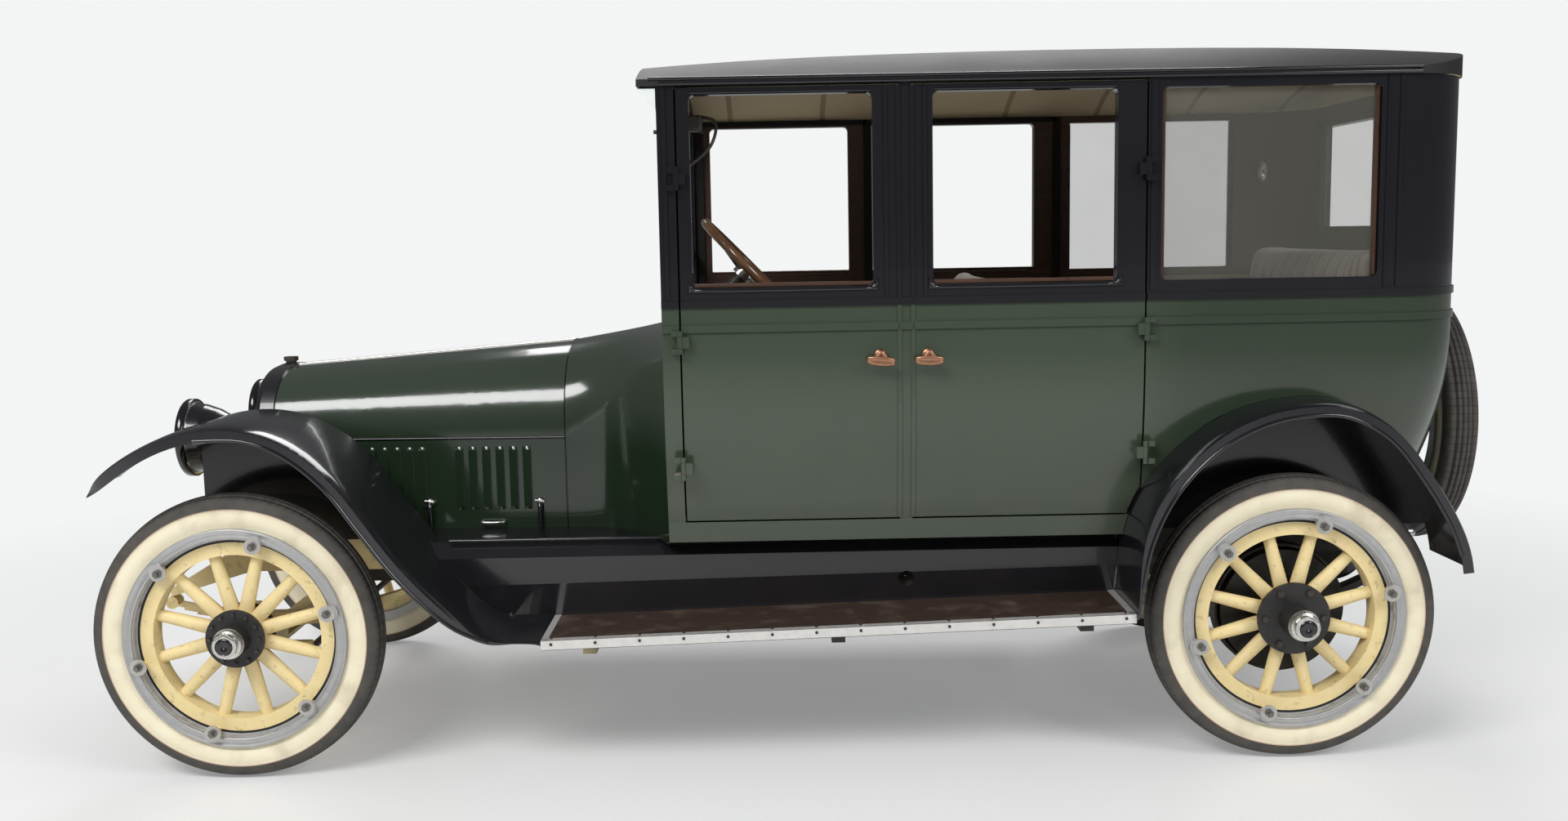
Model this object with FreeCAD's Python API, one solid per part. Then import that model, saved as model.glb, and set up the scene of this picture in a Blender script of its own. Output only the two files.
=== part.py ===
import FreeCAD, Part
import math
import os

# A closed sedan of the early 1920s with wooden artillery wheels, full size, in millimetres.
# The model is drawn with X = 0 at the front axle, +X to the rear, +Y to the car's right and +Z up.
# Each piece is then moved so that the origin is on the ground, midway between the tips of the
# front fenders and the back of the spare tyre.

Vector = FreeCAD.Vector
up = Vector(0, 0, 1)
across = Vector(0, 1, 0)
along = Vector(1, 0, 0)

# Overall places
wheelbase = 3150.0
front_overhang = 403.0
rear_overhang = 707.0
track = 1422.0
overall_length = front_overhang + wheelbase + rear_overhang
origin_shift = front_overhang - overall_length / 2
wheel_y = track / 2

# Clearances
seat = 0.3
pin_play = 0.05
pin_gap = 1.0
panel_gap = 5.5
cut = 60.0

# Tyres and wheels
tyre_radius = 432.0
tyre_width = 114.0
rim_radius = 333.0
bead_radius = 306.0
felloe_radius = 300.0
felloe_depth = 50.0
felloe_width = 64.0
rim_width = 110.0
rim_lip = 8.0
spoke_count = 12
spoke_root_radius = 23.0
spoke_tip_radius = 17.0
spoke_root = 60.0
spoke_ring_radius = 80.0
hub_width = 84.0
hub_flange = 12.0
front_flange_radius = 87.0
rear_flange_radius = 108.0
front_hub_reach = 139.0
rear_hub_reach = 169.0
hub_barrel_radius = 46.0
hub_cap_radius = 36.0
hub_cap_length = 34.0
lug_count = 6
lug_radius = 21.0
lug_length = 15.0
lug_circle = 302.0
lug_bolt_radius = 8.0
lug_bolt_length = 11.0
front_spindle_radius = 20.0
rear_spindle_radius = 26.0
spindle_reach = 62.0
wheel_z = tyre_radius

# Rear brakes
drum_radius = 185.0
drum_wall = 8.0
drum_width = 62.0
drum_gap = 6.0
band_gap = 5.5
band_thickness = 8.0
band_width = 44.0

# Rear axle
axle_tube_radius = 42.0
diff_radius = 150.0
diff_half = 75.0
diff_nose_share = 1.8
diff_neck_share = 0.8
torque_radius = 44.0
collar_radius = 54.0
torque_front_x = 1250.0
torque_rise = 110.0
plate_thickness = 5.0

# Front axle and steering
kingpin_y = 605.0
kingpin_radius = 12.0
kingpin_boss_radius = 22.0
kingpin_boss_height = 88.0
ear_height = 26.0
knuckle_width = 44.0
knuckle_inner = 22.0
knuckle_web = 16.0
arm_length = 165.0
arm_width = 30.0
arm_thickness = 18.0
ball_radius = 9.0
tie_rod_radius = 11.0
tie_rod_eye = 21.0
beam_drop = 52.0
beam_height = 56.0
beam_width = 50.0
beam_web = 16.0
beam_flange = 13.0
steering_rake = 43.8
steering_wheel_radius = 215.0
steering_rim_radius = 14.0
steering_hub = (1543.0, -285.0, 1491.0)
steering_hub_radius = 34.0
steering_hub_height = 30.0
steering_spokes = 4
steering_spoke_radius = 8.0
steering_dish = 42.0
column_radius = 19.0
column_room = 5.0
column_hole_share = 1.6

# Frame
rail_y = 430.0
rail_width = 50.0
rail_top = 660.0
rail_height = 100.0
rail_wall = 7.0
rail_front = -60.0
rail_back_overhang = 480.0
horn_tip_x = -322.0
horn_tip_z = 462.0
horn_radius = 26.0
horn_low_shares = (0.45, 0.35)
horn_top_shares = (0.4, 0.3)
member_width = 90.0
bracket_width = 40.0
bracket_depth = 22.0
bracket_inset = 24.0

board_bracket_shares = (0.08, 0.5, 0.92)
member_inset = 112.0
member_shares = (0.0, 0.29, 0.605, 0.967)

# Springs
leaf_thickness = 7.0
leaf_width = 48.0
leaf_count = 6
leaf_shorter_share = 0.13
rear_spring_reach = 460.0
eye_radius = 20.0

# Bonnet and radiator
bonnet_front_x = -15.0
bonnet_back_x = 937.0
bonnet_front_half = 290.0
bonnet_back_half = 335.0
bonnet_front_top = 1182.0
bonnet_back_top = 1251.0
bonnet_hinge_z = 960.0
bonnet_sheet = 4.0
shell_depth = 70.0
shell_rim = 46.0
shell_proud = 6.0
core_inset = 16.0
core_depth = 42.0
core_groove = 5.0
core_groove_depth = 6.0
core_groove_count = 40
louvre_front_xs = (210.0, 251.0, 292.0, 333.0, 374.0, 415.0, 456.0)
louvre_rear_xs = (577.0, 621.0, 665.0, 709.0, 753.0, 797.0)
louvre_low = 726.0
louvre_high = 932.0
louvre_length = 26.0
louvre_proud = 9.0
louvre_taper = 10.0
shell_round = 26.0
shell_foot_half = 280.0
bonnet_fullness_share = 2.35
cap_radius = 24.0
cap_height = 22.0
cap_neck_shares = (0.4, 0.6, 0.75)
shell_edge_share = 0.3
engine_half = 210.0
engine_bottom = 470.0
engine_top = 1080.0
gearbox_half = 110.0

# Body
body_front_x = 1288.0
body_back_overhang = 550.0
body_half = 708.0
body_bottom_half = 640.0
body_bottom = 672.0
body_belt = 1334.0
body_top = 2024.0
body_wall = 45.0
lower_bead_z = 1312.0
upper_bead_z = 1384.0
bead_height = 22.0
bead_proud = 6.0
body_corner = 250.0
body_tuck = 150.0
floor_thickness = 30.0
sill_top = 735.0
cowl_sheet = 20.0
cowl_top = 1307.0
cowl_shoulder = 1180.0
cowl_half = 700.0
cowl_fullness_share = 3.6
post_width = 54.0
screen_depth = 34.0
screen_bar = 26.0
screen_split_share = 0.3
front_door_width = 638.0
centre_post_width = 48.0
rear_door_inset = 442.0
window_sill = 1442.0
window_head = 1998.0
window_corner = 18.0
front_door_stiles = (37.0, 71.0)
rear_door_stiles = (56.0, 83.0)
quarter_front = 40.0
quarter_back = 310.0
back_window_half = 480.0
back_window_sill = 1588.0
back_window_head = 1951.0
glass_thickness = 6.0
hinge_offset = 19.0
hinge_pin_radius = 5.0
hinge_radius = 9.0
hinge_eye = 34.0
hinge_ear = 16.0
hinge_arm = 24.0
hinge_plate = 4.0
hinge_seat = 12.0
hinge_level_shares = (0.137, 0.427, 0.795)

# Roof
roof_crown = 120.0
roof_crown_shares = ((0.16, 0.88), (0.4, 1.0), (0.7, 1.0))
roof_front_crown = 80.0
roof_overhang = 8.0
roof_edge = 20.0
roof_thickness = 30.0
visor_reach = 55.0
visor_drop = 60.0
visor_lip = 6.0
header_depth = 40.0
roof_shoulder_share = 0.72
roof_rise_share = 0.62
roof_back_share = 0.72

# Fenders and running boards
fender_outer = 866.0
front_fender_inner = 436.0
rear_fender_inner = 560.0
fender_sheet = 4.0
door_fender_gap = 8.0
fender_flange = 29.0
fender_crown = 13.0
front_fender_step = 8
tip_lean = (0.5, 0.866)
fender_tip_taper = 150.0
fender_tip_round = 90.0
front_fender_length = 1316.0
front_fender_height = 1035.0
rear_fender_reach = 484.0
rear_fender_height = 1048.0
board_inner = 562.0
board_width = 290.0
board_front_x = 921.0
board_back_inset = 492.0
board_front_z = 432.0
board_back_z = 478.0
board_thickness = 28.0
apron_sheet = 4.0
apron_shoulder = 30.0
apron_fall = 42.0
apron_bulge_share = 0.9
apron_waist_share = 0.45
apron_inner = 318.0
apron_bulge = 26.0
apron_back_reach = 121.0
ledge_inner = 285.0
apron_hole_x = 2011.0
apron_hole_z = 532.0
apron_hole_radius = 26.0

# Lamps
lamp_y = 324.0
lamp_front_x = -268.0
lamp_length = 196.0
lamp_z = 980.0
lamp_radius = 122.0
lamp_rim = 16.0
lens_thickness = 6.0
lamp_neck_shares = (0.5, 0.7)
lamp_post_radius = 13.0
lamp_foot_radius = 20.0
lamp_foot_height = 14.0

# Seats and cabin
seat_half = 570.0
front_seat_x = 1760.0
front_seat_depth = 470.0
front_seat_top = 1105.0
front_seat_back_top = 1470.0
front_seat_back_thickness = 120.0
rear_seat_x = 2860.0
rear_seat_depth = 480.0
rear_seat_top = 1120.0
rear_seat_back_top = 1545.0
rear_seat_back_thickness = 190.0
rear_seat_half = 540.0
cushion_thickness = 190.0
cushion_round = 30.0
seat_rest_share = 0.8
seat_lean_share = 0.16
seat_base_share = 0.78
column_foot = 20.0
gear_box = 60.0
gear_box_width = 60.0
gear_bracket = 30.0
lever_radius = 9.0
knob_radius = 20.0
lever_places = ((1560.0, 0.0, 560.0, 60.0), (1600.0, 80.0, 420.0, 90.0))
pedal_places = (-390.0, -180.0)
pedal_x = 1330.0
pedal_size = 80.0
pedal_thickness = 16.0
pedal_height = 128.0
seat_box_height = 230.0
dash_thickness = 14.0
dash_height = 190.0
dial_level_share = 0.45
dial_shares = (-0.62, -0.2, 0.0, 0.2)
dial_radius = 42.0
dial_depth = 10.0

# Rear tank, exhaust and spare
tank_radius = 105.0
tank_x_overhang = 262.0
tank_z = 560.0
pipe_radius = 24.0
muffler_radius = 70.0
muffler_length = 600.0
tail_pipe_length = 300.0
pipe_start_share = 0.6
pipe_z = 496.0
hanger_width = 16.0
hanger_length = 40.0
spare_z = 950.0
carrier_radius = 16.0
carrier_gap = 8.0
carrier_half = 170.0

parts = {}
bonnet_bottom = rail_top + apron_sheet + seat * 2
board_outer = board_inner + board_width
rail_low = rail_top - rail_height


def box(x0, x1, y0, y1, z0, z1):
    return Part.makeBox(x1 - x0, y1 - y0, z1 - z0, Vector(x0, y0, z0))


def rod(start, end, radius):
    first, last = Vector(*start), Vector(*end)
    return Part.makeCylinder(radius, (last - first).Length, first, last - first)


def cone(start, end, first_radius, last_radius):
    first, last = Vector(*start), Vector(*end)
    return Part.makeCone(first_radius, last_radius, (last - first).Length, first, last - first)


def joined(shapes):
    shapes = list(shapes)
    return shapes[0].multiFuse(shapes[1:]).removeSplitter()


def mirror(shape):
    return shape.mirror(Vector(0, 0, 0), across)


def both(shape):
    """The shape on the car's left and its mirror image on the right."""
    return Part.makeCompound([shape, mirror(shape)])


def face_of(points):
    return Part.Face(Part.makePolygon(points + points[:1]))


def slab_xz(points, y0, y1):
    return face_of([Vector(x, y0, z) for x, z in points]).extrude(Vector(0, y1 - y0, 0))


def slab_yz(points, x0, x1):
    return face_of([Vector(x0, y, z) for y, z in points]).extrude(Vector(x1 - x0, 0, 0))


def turned_y(profile, x, y, z, outward):
    """A closed profile of (distance outward, radius) turned about a line across the car."""
    face = face_of([Vector(x, y + outward * reach, z + radius) for reach, radius in profile])
    return face.revolve(Vector(x, y, z), across, 360)


def turned_x(profile, x, y, z):
    """A closed profile of (distance back, radius) turned about a line along the car."""
    face = face_of([Vector(x + back, y, z + radius) for back, radius in profile])
    return face.revolve(Vector(x, y, z), along, 360)


def spline(points):
    curve = Part.BSplineCurve()
    curve.interpolate(points)
    return curve.toShape()


def loft(wires, ruled=False):
    return Part.makeLoft(wires, True, ruled)


def between(low, high, share):
    return low + (high - low) * share


def biggest(shape):
    return max(shape.Solids, key=lambda solid: solid.Volume)


# Wheels: a pneumatic tyre on a steel rim that six lugs clamp to a wooden wheel.
tyre_shares = [
    (-0.80, 0.00), (-0.96, 0.22), (-1.00, 0.50), (-0.93, 0.76), (-0.74, 0.93), (-0.40, 0.99),
    (0.40, 0.99), (0.74, 0.93), (0.93, 0.76), (1.00, 0.50), (0.96, 0.22), (0.80, 0.00),
]


def tyre(x, y, z, outward, turn):
    """The bead sits between the rim's lips and the section swells above them."""
    bead_half = rim_width / 2 - rim_lip - seat
    lip_top = rim_radius + seat
    height = (tyre_radius - lip_top) / max(share for side, share in tyre_shares)
    profile = [(-bead_half, bead_radius + seat), (-bead_half, lip_top)]
    for side_share, height_share in tyre_shares[1:-1]:
        profile.append((side_share * tyre_width / 2, lip_top + height_share * height))
    profile += [(bead_half, lip_top), (bead_half, bead_radius + seat)]
    return turn(profile, x, y, z, outward)


def rim_profile():
    half = rim_width / 2
    return [
        (-half, felloe_radius), (-half, rim_radius), (rim_lip - half, rim_radius),
        (rim_lip - half, bead_radius), (half - rim_lip, bead_radius), (half - rim_lip, rim_radius),
        (half, rim_radius), (half, felloe_radius),
    ]


def wheel(driven):
    """One wooden wheel on the left of the front axle, with its hub, felloe, rim and lugs."""
    x, y, z = 0.0, -wheel_y, wheel_z
    flange_radius = rear_flange_radius if driven else front_flange_radius
    reach = rear_hub_reach if driven else front_hub_reach
    bore = (rear_spindle_radius if driven else front_spindle_radius) + pin_play
    half = hub_width / 2
    inner = -half - hub_flange
    web = inner - drum_wall
    back = web - drum_width
    drum = [(web, bore), (web, drum_radius - drum_wall), (back, drum_radius - drum_wall),
            (back, drum_radius), (inner, drum_radius)]
    hub = (drum if driven else [(inner, bore)]) + [
        (inner, flange_radius), (-half, flange_radius), (-half, spoke_ring_radius),
        (half, spoke_ring_radius), (half, flange_radius), (half + hub_flange, flange_radius),
        (half + hub_flange, hub_barrel_radius), (reach - hub_cap_length, hub_barrel_radius),
        (reach - hub_cap_length, hub_cap_radius), (reach, hub_cap_radius),
        (reach, 0), (spindle_reach + pin_gap, 0), (spindle_reach + pin_gap, bore),
    ]
    pieces = [turned_y(hub, x, y, z, -1)]
    felloe_half = felloe_width / 2
    felloe_inner = felloe_radius - felloe_depth
    pieces.append(turned_y([
        (-felloe_half, felloe_inner), (-felloe_half, felloe_radius), (felloe_half, felloe_radius),
        (felloe_half, felloe_inner)], x, y, z, -1))
    pieces.append(turned_y(rim_profile(), x, y, z, -1))
    for index in range(spoke_count):
        angle = 2 * math.pi * (index + 0.5) / spoke_count
        start = (x + spoke_root * math.sin(angle), y, z + spoke_root * math.cos(angle))
        tip = felloe_inner + felloe_depth / 2
        end = (x + tip * math.sin(angle), y, z + tip * math.cos(angle))
        pieces.append(cone(start, end, spoke_root_radius, spoke_tip_radius))
    for index in range(lug_count):
        angle = 2 * math.pi * (index + 0.25) / lug_count
        lug_x, lug_z = x + lug_circle * math.sin(angle), z + lug_circle * math.cos(angle)
        face_y = y - rim_width / 2 + rim_lip
        out_y = y - rim_width / 2 - lug_length
        pieces.append(rod((lug_x, face_y, lug_z), (lug_x, out_y, lug_z), lug_radius))
        bolt = lug_circle - lug_radius / 2
        bolt_x, bolt_z = x + bolt * math.sin(angle), z + bolt * math.cos(angle)
        pieces.append(rod((bolt_x, y - felloe_half + rim_lip, bolt_z),
                          (bolt_x, out_y - lug_bolt_length, bolt_z), lug_bolt_radius))
    return joined(pieces)


def make_wheels():
    for axle, x in (("front", 0.0), ("rear", wheelbase)):
        left = wheel(axle == "rear")
        left.translate(Vector(x, 0, 0))
        rubber = tyre(x, -wheel_y, wheel_z, -1, turned_y)
        parts["wheel_" + axle + "_left"] = left
        parts["wheel_" + axle + "_right"] = mirror(left)
        parts["tyre_" + axle + "_left"] = rubber
        parts["tyre_" + axle + "_right"] = mirror(rubber)


def make_front_axle():
    """An I-section beam that drops between the springs, with a boss round each kingpin."""
    boss_half = kingpin_boss_height / 2
    low = wheel_z - beam_drop - beam_height
    inner = kingpin_y - kingpin_boss_radius
    bend = inner - beam_height
    top = wheel_z + beam_height / 2
    outline = [
        (-inner, top - beam_height), (-inner, top), (-bend, top), (-rail_y, low + beam_height),
        (rail_y, low + beam_height), (bend, top), (inner, top), (inner, top - beam_height),
        (bend + beam_height / 2, top - beam_height), (rail_y + beam_height / 2, low),
        (-rail_y - beam_height / 2, low), (-bend - beam_height / 2, top - beam_height),
    ]
    half = beam_width / 2
    beam = slab_yz(outline, -half, half)
    pocket_half = rail_y - beam_height
    for side in (-1, 1):
        web = side * beam_web / 2
        edge = side * (half + cut)
        beam = beam.cut(box(min(web, edge), max(web, edge), -pocket_half, pocket_half,
                            low + beam_flange, low + beam_height - beam_flange))
    pieces = [beam]
    for side in (-1, 1):
        y = side * kingpin_y
        pieces.append(rod((0, y, wheel_z - boss_half), (0, y, wheel_z + boss_half),
                          kingpin_boss_radius))
        pieces.append(box(-half, half, min(side * inner, side * (inner + pin_gap)),
                          max(side * inner, side * (inner + pin_gap)), top - beam_height, top))
    axle = joined(pieces)
    for side in (-1, 1):
        y = side * kingpin_y
        hole = kingpin_radius + pin_play
        axle = axle.cut(rod((0, y, wheel_z - boss_half - cut), (0, y, wheel_z + boss_half + cut),
                            hole))
    parts["front_axle"] = axle


def knuckle():
    """The left knuckle: two ears, the kingpin, the spindle and a steering arm to the rear."""
    boss_half = kingpin_boss_height / 2 + pin_gap
    outer = kingpin_y + kingpin_boss_radius + pin_gap
    web_outer = outer + knuckle_web
    half = knuckle_width / 2
    inner = kingpin_y - knuckle_inner
    pieces = [box(-half, half, -web_outer, -outer, wheel_z - boss_half - ear_height,
                  wheel_z + boss_half + ear_height)]
    for low in (wheel_z - boss_half - ear_height, wheel_z + boss_half):
        pieces.append(box(-half, half, -outer, -inner, low, low + ear_height))
    pieces.append(rod((0, -kingpin_y, wheel_z - boss_half - ear_height),
                      (0, -kingpin_y, wheel_z + boss_half + ear_height), kingpin_radius))
    pieces.append(rod((0, -outer, wheel_z), (0, -wheel_y - spindle_reach, wheel_z),
                      front_spindle_radius))
    arm_low = wheel_z - boss_half - ear_height
    pieces.append(box(0, arm_length, -kingpin_y - arm_width / 2, -kingpin_y + arm_width / 2,
                      arm_low, arm_low + arm_thickness))
    pieces.append(rod((arm_length, -kingpin_y, arm_low),
                      (arm_length, -kingpin_y, arm_low + arm_thickness), arm_width / 2))
    pieces.append(rod((arm_length, -kingpin_y, arm_low - tie_rod_eye - pin_gap),
                      (arm_length, -kingpin_y, arm_low), ball_radius))
    return joined(pieces)


def make_steering():
    left = knuckle()
    parts["knuckle_left"] = left
    parts["knuckle_right"] = mirror(left)
    arm_low = wheel_z - kingpin_boss_height / 2 - pin_gap - ear_height
    rod_z = arm_low - pin_gap - tie_rod_eye / 2
    pieces = [rod((arm_length, -kingpin_y, rod_z), (arm_length, kingpin_y, rod_z), tie_rod_radius)]
    for side in (-1, 1):
        y = side * kingpin_y
        pieces.append(rod((arm_length, y, rod_z - tie_rod_eye / 2),
                          (arm_length, y, rod_z + tie_rod_eye / 2), ball_radius * 2))
    tie = joined(pieces)
    for side, play in ((-1, pin_play), (1, pin_play * 2)):
        y = side * kingpin_y
        tie = tie.cut(rod((arm_length, y, rod_z - tie_rod_eye), (arm_length, y, rod_z + tie_rod_eye),
                          ball_radius + play))
    parts["tie_rod"] = tie


def make_rear_axle():
    """A banjo housing with tubes to the spindles, brake bands and a torque tube forward."""
    x, z = wheelbase, wheel_z
    drum_back = hub_width / 2 + hub_flange + drum_wall + drum_width
    plate_y = wheel_y - drum_back - drum_gap
    pieces = [rod((x, -plate_y, z), (x, plate_y, z), axle_tube_radius),
              rod((x, -diff_half, z), (x, diff_half, z), diff_radius),
              cone((x, 0, z), (x - diff_radius * diff_nose_share, 0, z + torque_rise / 3),
                   diff_radius * diff_neck_share, torque_radius),
              rod((x, 0, z), (torque_front_x + torque_radius, 0, z + torque_rise), torque_radius),
              rod((torque_front_x, 0, z + torque_rise),
                  (torque_front_x + torque_radius * 2, 0, z + torque_rise), collar_radius)]
    for side in (-1, 1):
        pieces.append(rod((x, side * plate_y, z),
                          (x, side * (wheel_y + spindle_reach), z), rear_spindle_radius))
        band_inner = drum_radius + band_gap
        band_outer = band_inner + band_thickness
        plate = turned_y([(0, 0), (0, band_outer), (plate_thickness, band_outer),
                          (plate_thickness, 0)], x, side * plate_y, z, -side)
        pieces.append(plate)
        pieces.append(turned_y([
            (-plate_thickness, band_inner), (-plate_thickness, band_outer),
            (drum_gap + band_width, band_outer), (drum_gap + band_width, band_inner)],
            x, side * plate_y, z, side))
    parts["rear_axle"] = joined(pieces)


def leaf_stack(front, low, back, y):
    """Curved leaves, each shorter than the one above, between two rolled eyes."""
    first, middle, last = (Vector(x, 0, z) for x, z in (front, low, back))
    circle = Part.Arc(first, middle, last).toShape().Curve
    centre, radius = circle.Center, circle.Radius
    start = math.atan2(first.x - centre.x, centre.z - first.z)
    end = math.atan2(last.x - centre.x, centre.z - last.z)
    centre_angle = math.atan2(middle.x - centre.x, centre.z - middle.z)
    pieces = []
    for index in range(leaf_count):
        keep = 1 - index * leaf_shorter_share
        angles = (between(centre_angle, start, keep), centre_angle,
                  between(centre_angle, end, keep))
        inner, outer = radius + index * leaf_thickness, radius + (index + 1) * leaf_thickness
        rims = []
        for size in (inner, outer):
            rims.append([Vector(centre.x + size * math.sin(angle), y - leaf_width / 2,
                                centre.z - size * math.cos(angle)) for angle in angles])
        edges = [Part.Arc(*rims[0]).toShape(), Part.makeLine(rims[0][2], rims[1][2]),
                 Part.Arc(*rims[1]).toShape(), Part.makeLine(rims[1][0], rims[0][0])]
        leaf = Part.Face(Part.Wire(Part.__sortEdges__(edges)))
        pieces.append(leaf.extrude(Vector(0, leaf_width, 0)))
    for x, z in (front, back):
        pieces.append(rod((x, y - leaf_width / 2, z), (x, y + leaf_width / 2, z), eye_radius))
    return joined(pieces)


def make_springs():
    """Front springs lie on the beam and rear springs hang under the tubes, level at the axles."""
    y = -(rail_y - rail_width / 2)
    stack = leaf_count * leaf_thickness + seat
    front_z = wheel_z - beam_drop + stack
    rear_z = wheel_z - axle_tube_radius - seat
    eye_z = rail_low - eye_radius - seat
    tip_rise, eye_rise = horn_tip_z - front_z, eye_z - front_z
    radius = (horn_tip_x ** 2 + tip_rise ** 2) / tip_rise / 2
    reach = math.sqrt(2 * radius * eye_rise - eye_rise ** 2)
    front = leaf_stack((horn_tip_x, horn_tip_z), (0, front_z), (reach, eye_z), y)
    rear = leaf_stack((wheelbase - rear_spring_reach, eye_z), (wheelbase, rear_z),
                      (wheelbase + rear_spring_reach, eye_z), y)
    parts["leaf_springs"] = Part.makeCompound([front, mirror(front), rear, mirror(rear)])


def member_x(index):
    """The front face of a cross member: the first carries the radiator, the next the gearbox."""
    if index == 0:
        return rail_front
    return between(bonnet_back_x - member_inset, wheelbase + rail_back_overhang,
                   member_shares[index - 1])


def make_frame():
    """Channel side rails with forged horns, cross members and running board brackets."""
    back = wheelbase + rail_back_overhang
    low = rail_low
    solids = []
    for side in (-1, 1):
        y0, y1 = sorted((side * rail_y, side * (rail_y - rail_width)))
        rail = box(rail_front, back, y0, y1, low, rail_top)
        inner = side * (rail_y - rail_width)
        web = side * (rail_y - rail_wall)
        y2, y3 = sorted((inner - side * cut, web))
        rail = rail.cut(box(rail_front + rail_height, back - rail_wall, y2, y3, low + rail_wall,
                            rail_top - rail_wall))
        tip = (horn_tip_x, horn_tip_z)
        horn = slab_xz([
            (rail_front, rail_top), (rail_front, low),
            (between(rail_front, tip[0], horn_low_shares[0]),
             between(low, tip[1], horn_low_shares[1])),
            (tip[0], tip[1] + eye_radius + seat), (tip[0], tip[1] + eye_radius + horn_radius),
            (between(rail_front, tip[0], horn_top_shares[0]),
             between(rail_top, tip[1], horn_top_shares[1]))], y0, y1)
        pieces = [rail, horn]
        for share in board_bracket_shares:
            x = between(board_front_x, wheelbase - board_back_inset, share)
            board_low = between(board_front_z, board_back_z, share) - board_thickness - seat
            y4, y5 = sorted((side * rail_y, side * (board_outer - bracket_inset)))
            y6, y7 = sorted((side * rail_y, side * (rail_y + bracket_depth)))
            x0, x1 = x - bracket_width / 2, x + bracket_width / 2
            fall = (board_back_z - board_front_z) * bracket_width / 2 / (wheelbase - board_front_x)
            top = board_low - fall
            pieces.append(box(x0, x1, y4, y5, top - bracket_depth, top))
            pieces.append(box(x0, x1, y6, y7, top - bracket_depth, rail_top - rail_wall))
        solids.append(joined(pieces))
    half = rail_y - rail_width - seat
    for index in range(len(member_shares) + 1):
        x = member_x(index)
        member = box(x, x + member_width, -half, half, low + rail_wall, rail_top - rail_wall)
        member = member.cut(box(x + rail_wall, x + member_width + cut, -half - cut, half + cut,
                                low + rail_wall * 2, rail_top - rail_wall * 2))
        if index == 0:
            foot = box(x, bonnet_front_x - seat, -shell_foot_half, shell_foot_half,
                       rail_top - rail_wall, bonnet_bottom - seat)
            member = joined([member, foot])
        solids.append(member)
    parts["chassis_frame"] = Part.makeCompound(solids)


def arch_points(half, low, shoulder, top, fullness, count=6):
    """Half of a rounded arch, from its foot at the shoulder to its crown on the middle line."""
    points = []
    for index in range(count + 1):
        angle = math.pi / 2 * index / count
        y = half * math.cos(angle) ** (2 / fullness)
        z = shoulder + (top - shoulder) * math.sin(angle) ** (2 / fullness)
        points.append((y, z))
    return points


def arch_wire(x, half, low, shoulder, top, fullness, foot_half=None):
    """A closed section: flat foot, straight sides and an arched top."""
    foot = foot_half or half
    quarter = arch_points(half, low, shoulder, top, fullness)
    left = [Vector(x, -y, z) for y, z in quarter]
    right = [Vector(x, y, z) for y, z in reversed(quarter)]
    crown = spline(left + right[1:])
    return Part.Wire([
        Part.makeLine(Vector(x, foot, low), Vector(x, -foot, low)),
        Part.makeLine(Vector(x, -foot, low), left[0]), crown,
        Part.makeLine(right[-1], Vector(x, foot, low))])


def bonnet_section(x, inset):
    share = (x - bonnet_front_x) / (bonnet_back_x - bonnet_front_x)
    half = between(bonnet_front_half, bonnet_back_half, share) - inset
    top = between(bonnet_front_top, bonnet_back_top, share) - inset
    return arch_wire(x, half, bonnet_bottom, bonnet_hinge_z, top, bonnet_fullness_share)


def louvre(x):
    """One louvre on the left side: a scoop that rises from the panel and opens to the rear."""
    sections = []
    for z, keep in ((louvre_low, 0), (louvre_low + louvre_taper, 1),
                    (louvre_high - louvre_taper, 1), (louvre_high, 0)):
        share = (x - bonnet_front_x) / (bonnet_back_x - bonnet_front_x)
        y = -between(bonnet_front_half, bonnet_back_half, share)
        inside = y + bonnet_sheet / 2
        tip = y - louvre_proud * keep - seat
        sections.append(Part.makePolygon([
            Vector(x, inside, z), Vector(x, y - seat, z), Vector(x + louvre_length, tip - seat, z),
            Vector(x + louvre_length, inside, z), Vector(x, inside, z)]))
    return loft(sections, True)


def make_bonnet():
    """Two tops and two louvred sides, hinged along the middle and at the shoulders."""
    ends = (bonnet_front_x + seat, bonnet_back_x - seat)
    outer = loft([bonnet_section(x, 0) for x in ends])
    inner_ends = (bonnet_front_x - cut, bonnet_back_x + cut)
    inner = loft([bonnet_section(x, bonnet_sheet) for x in inner_ends])
    inner.translate(Vector(0, 0, -seat))
    skin = outer.cut(inner)
    far = bonnet_back_half + cut
    skin = skin.cut(box(ends[0] - cut, ends[1] + cut, -far, far, bonnet_hinge_z - seat / 2,
                        bonnet_hinge_z + seat / 2))
    skin = skin.cut(box(ends[0] - cut, ends[1] + cut, -seat / 2, seat / 2, bonnet_hinge_z,
                        bonnet_back_top + cut))
    panels = sorted(skin.Solids, key=lambda solid: (round(solid.BoundBox.ZMax), solid.CenterOfMass.y))
    louvres = [louvre(x) for x in louvre_front_xs + louvre_rear_xs]
    left = joined([panels[0]] + louvres)
    parts["bonnet"] = Part.makeCompound([left, mirror(left)] + panels[2:])


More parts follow.
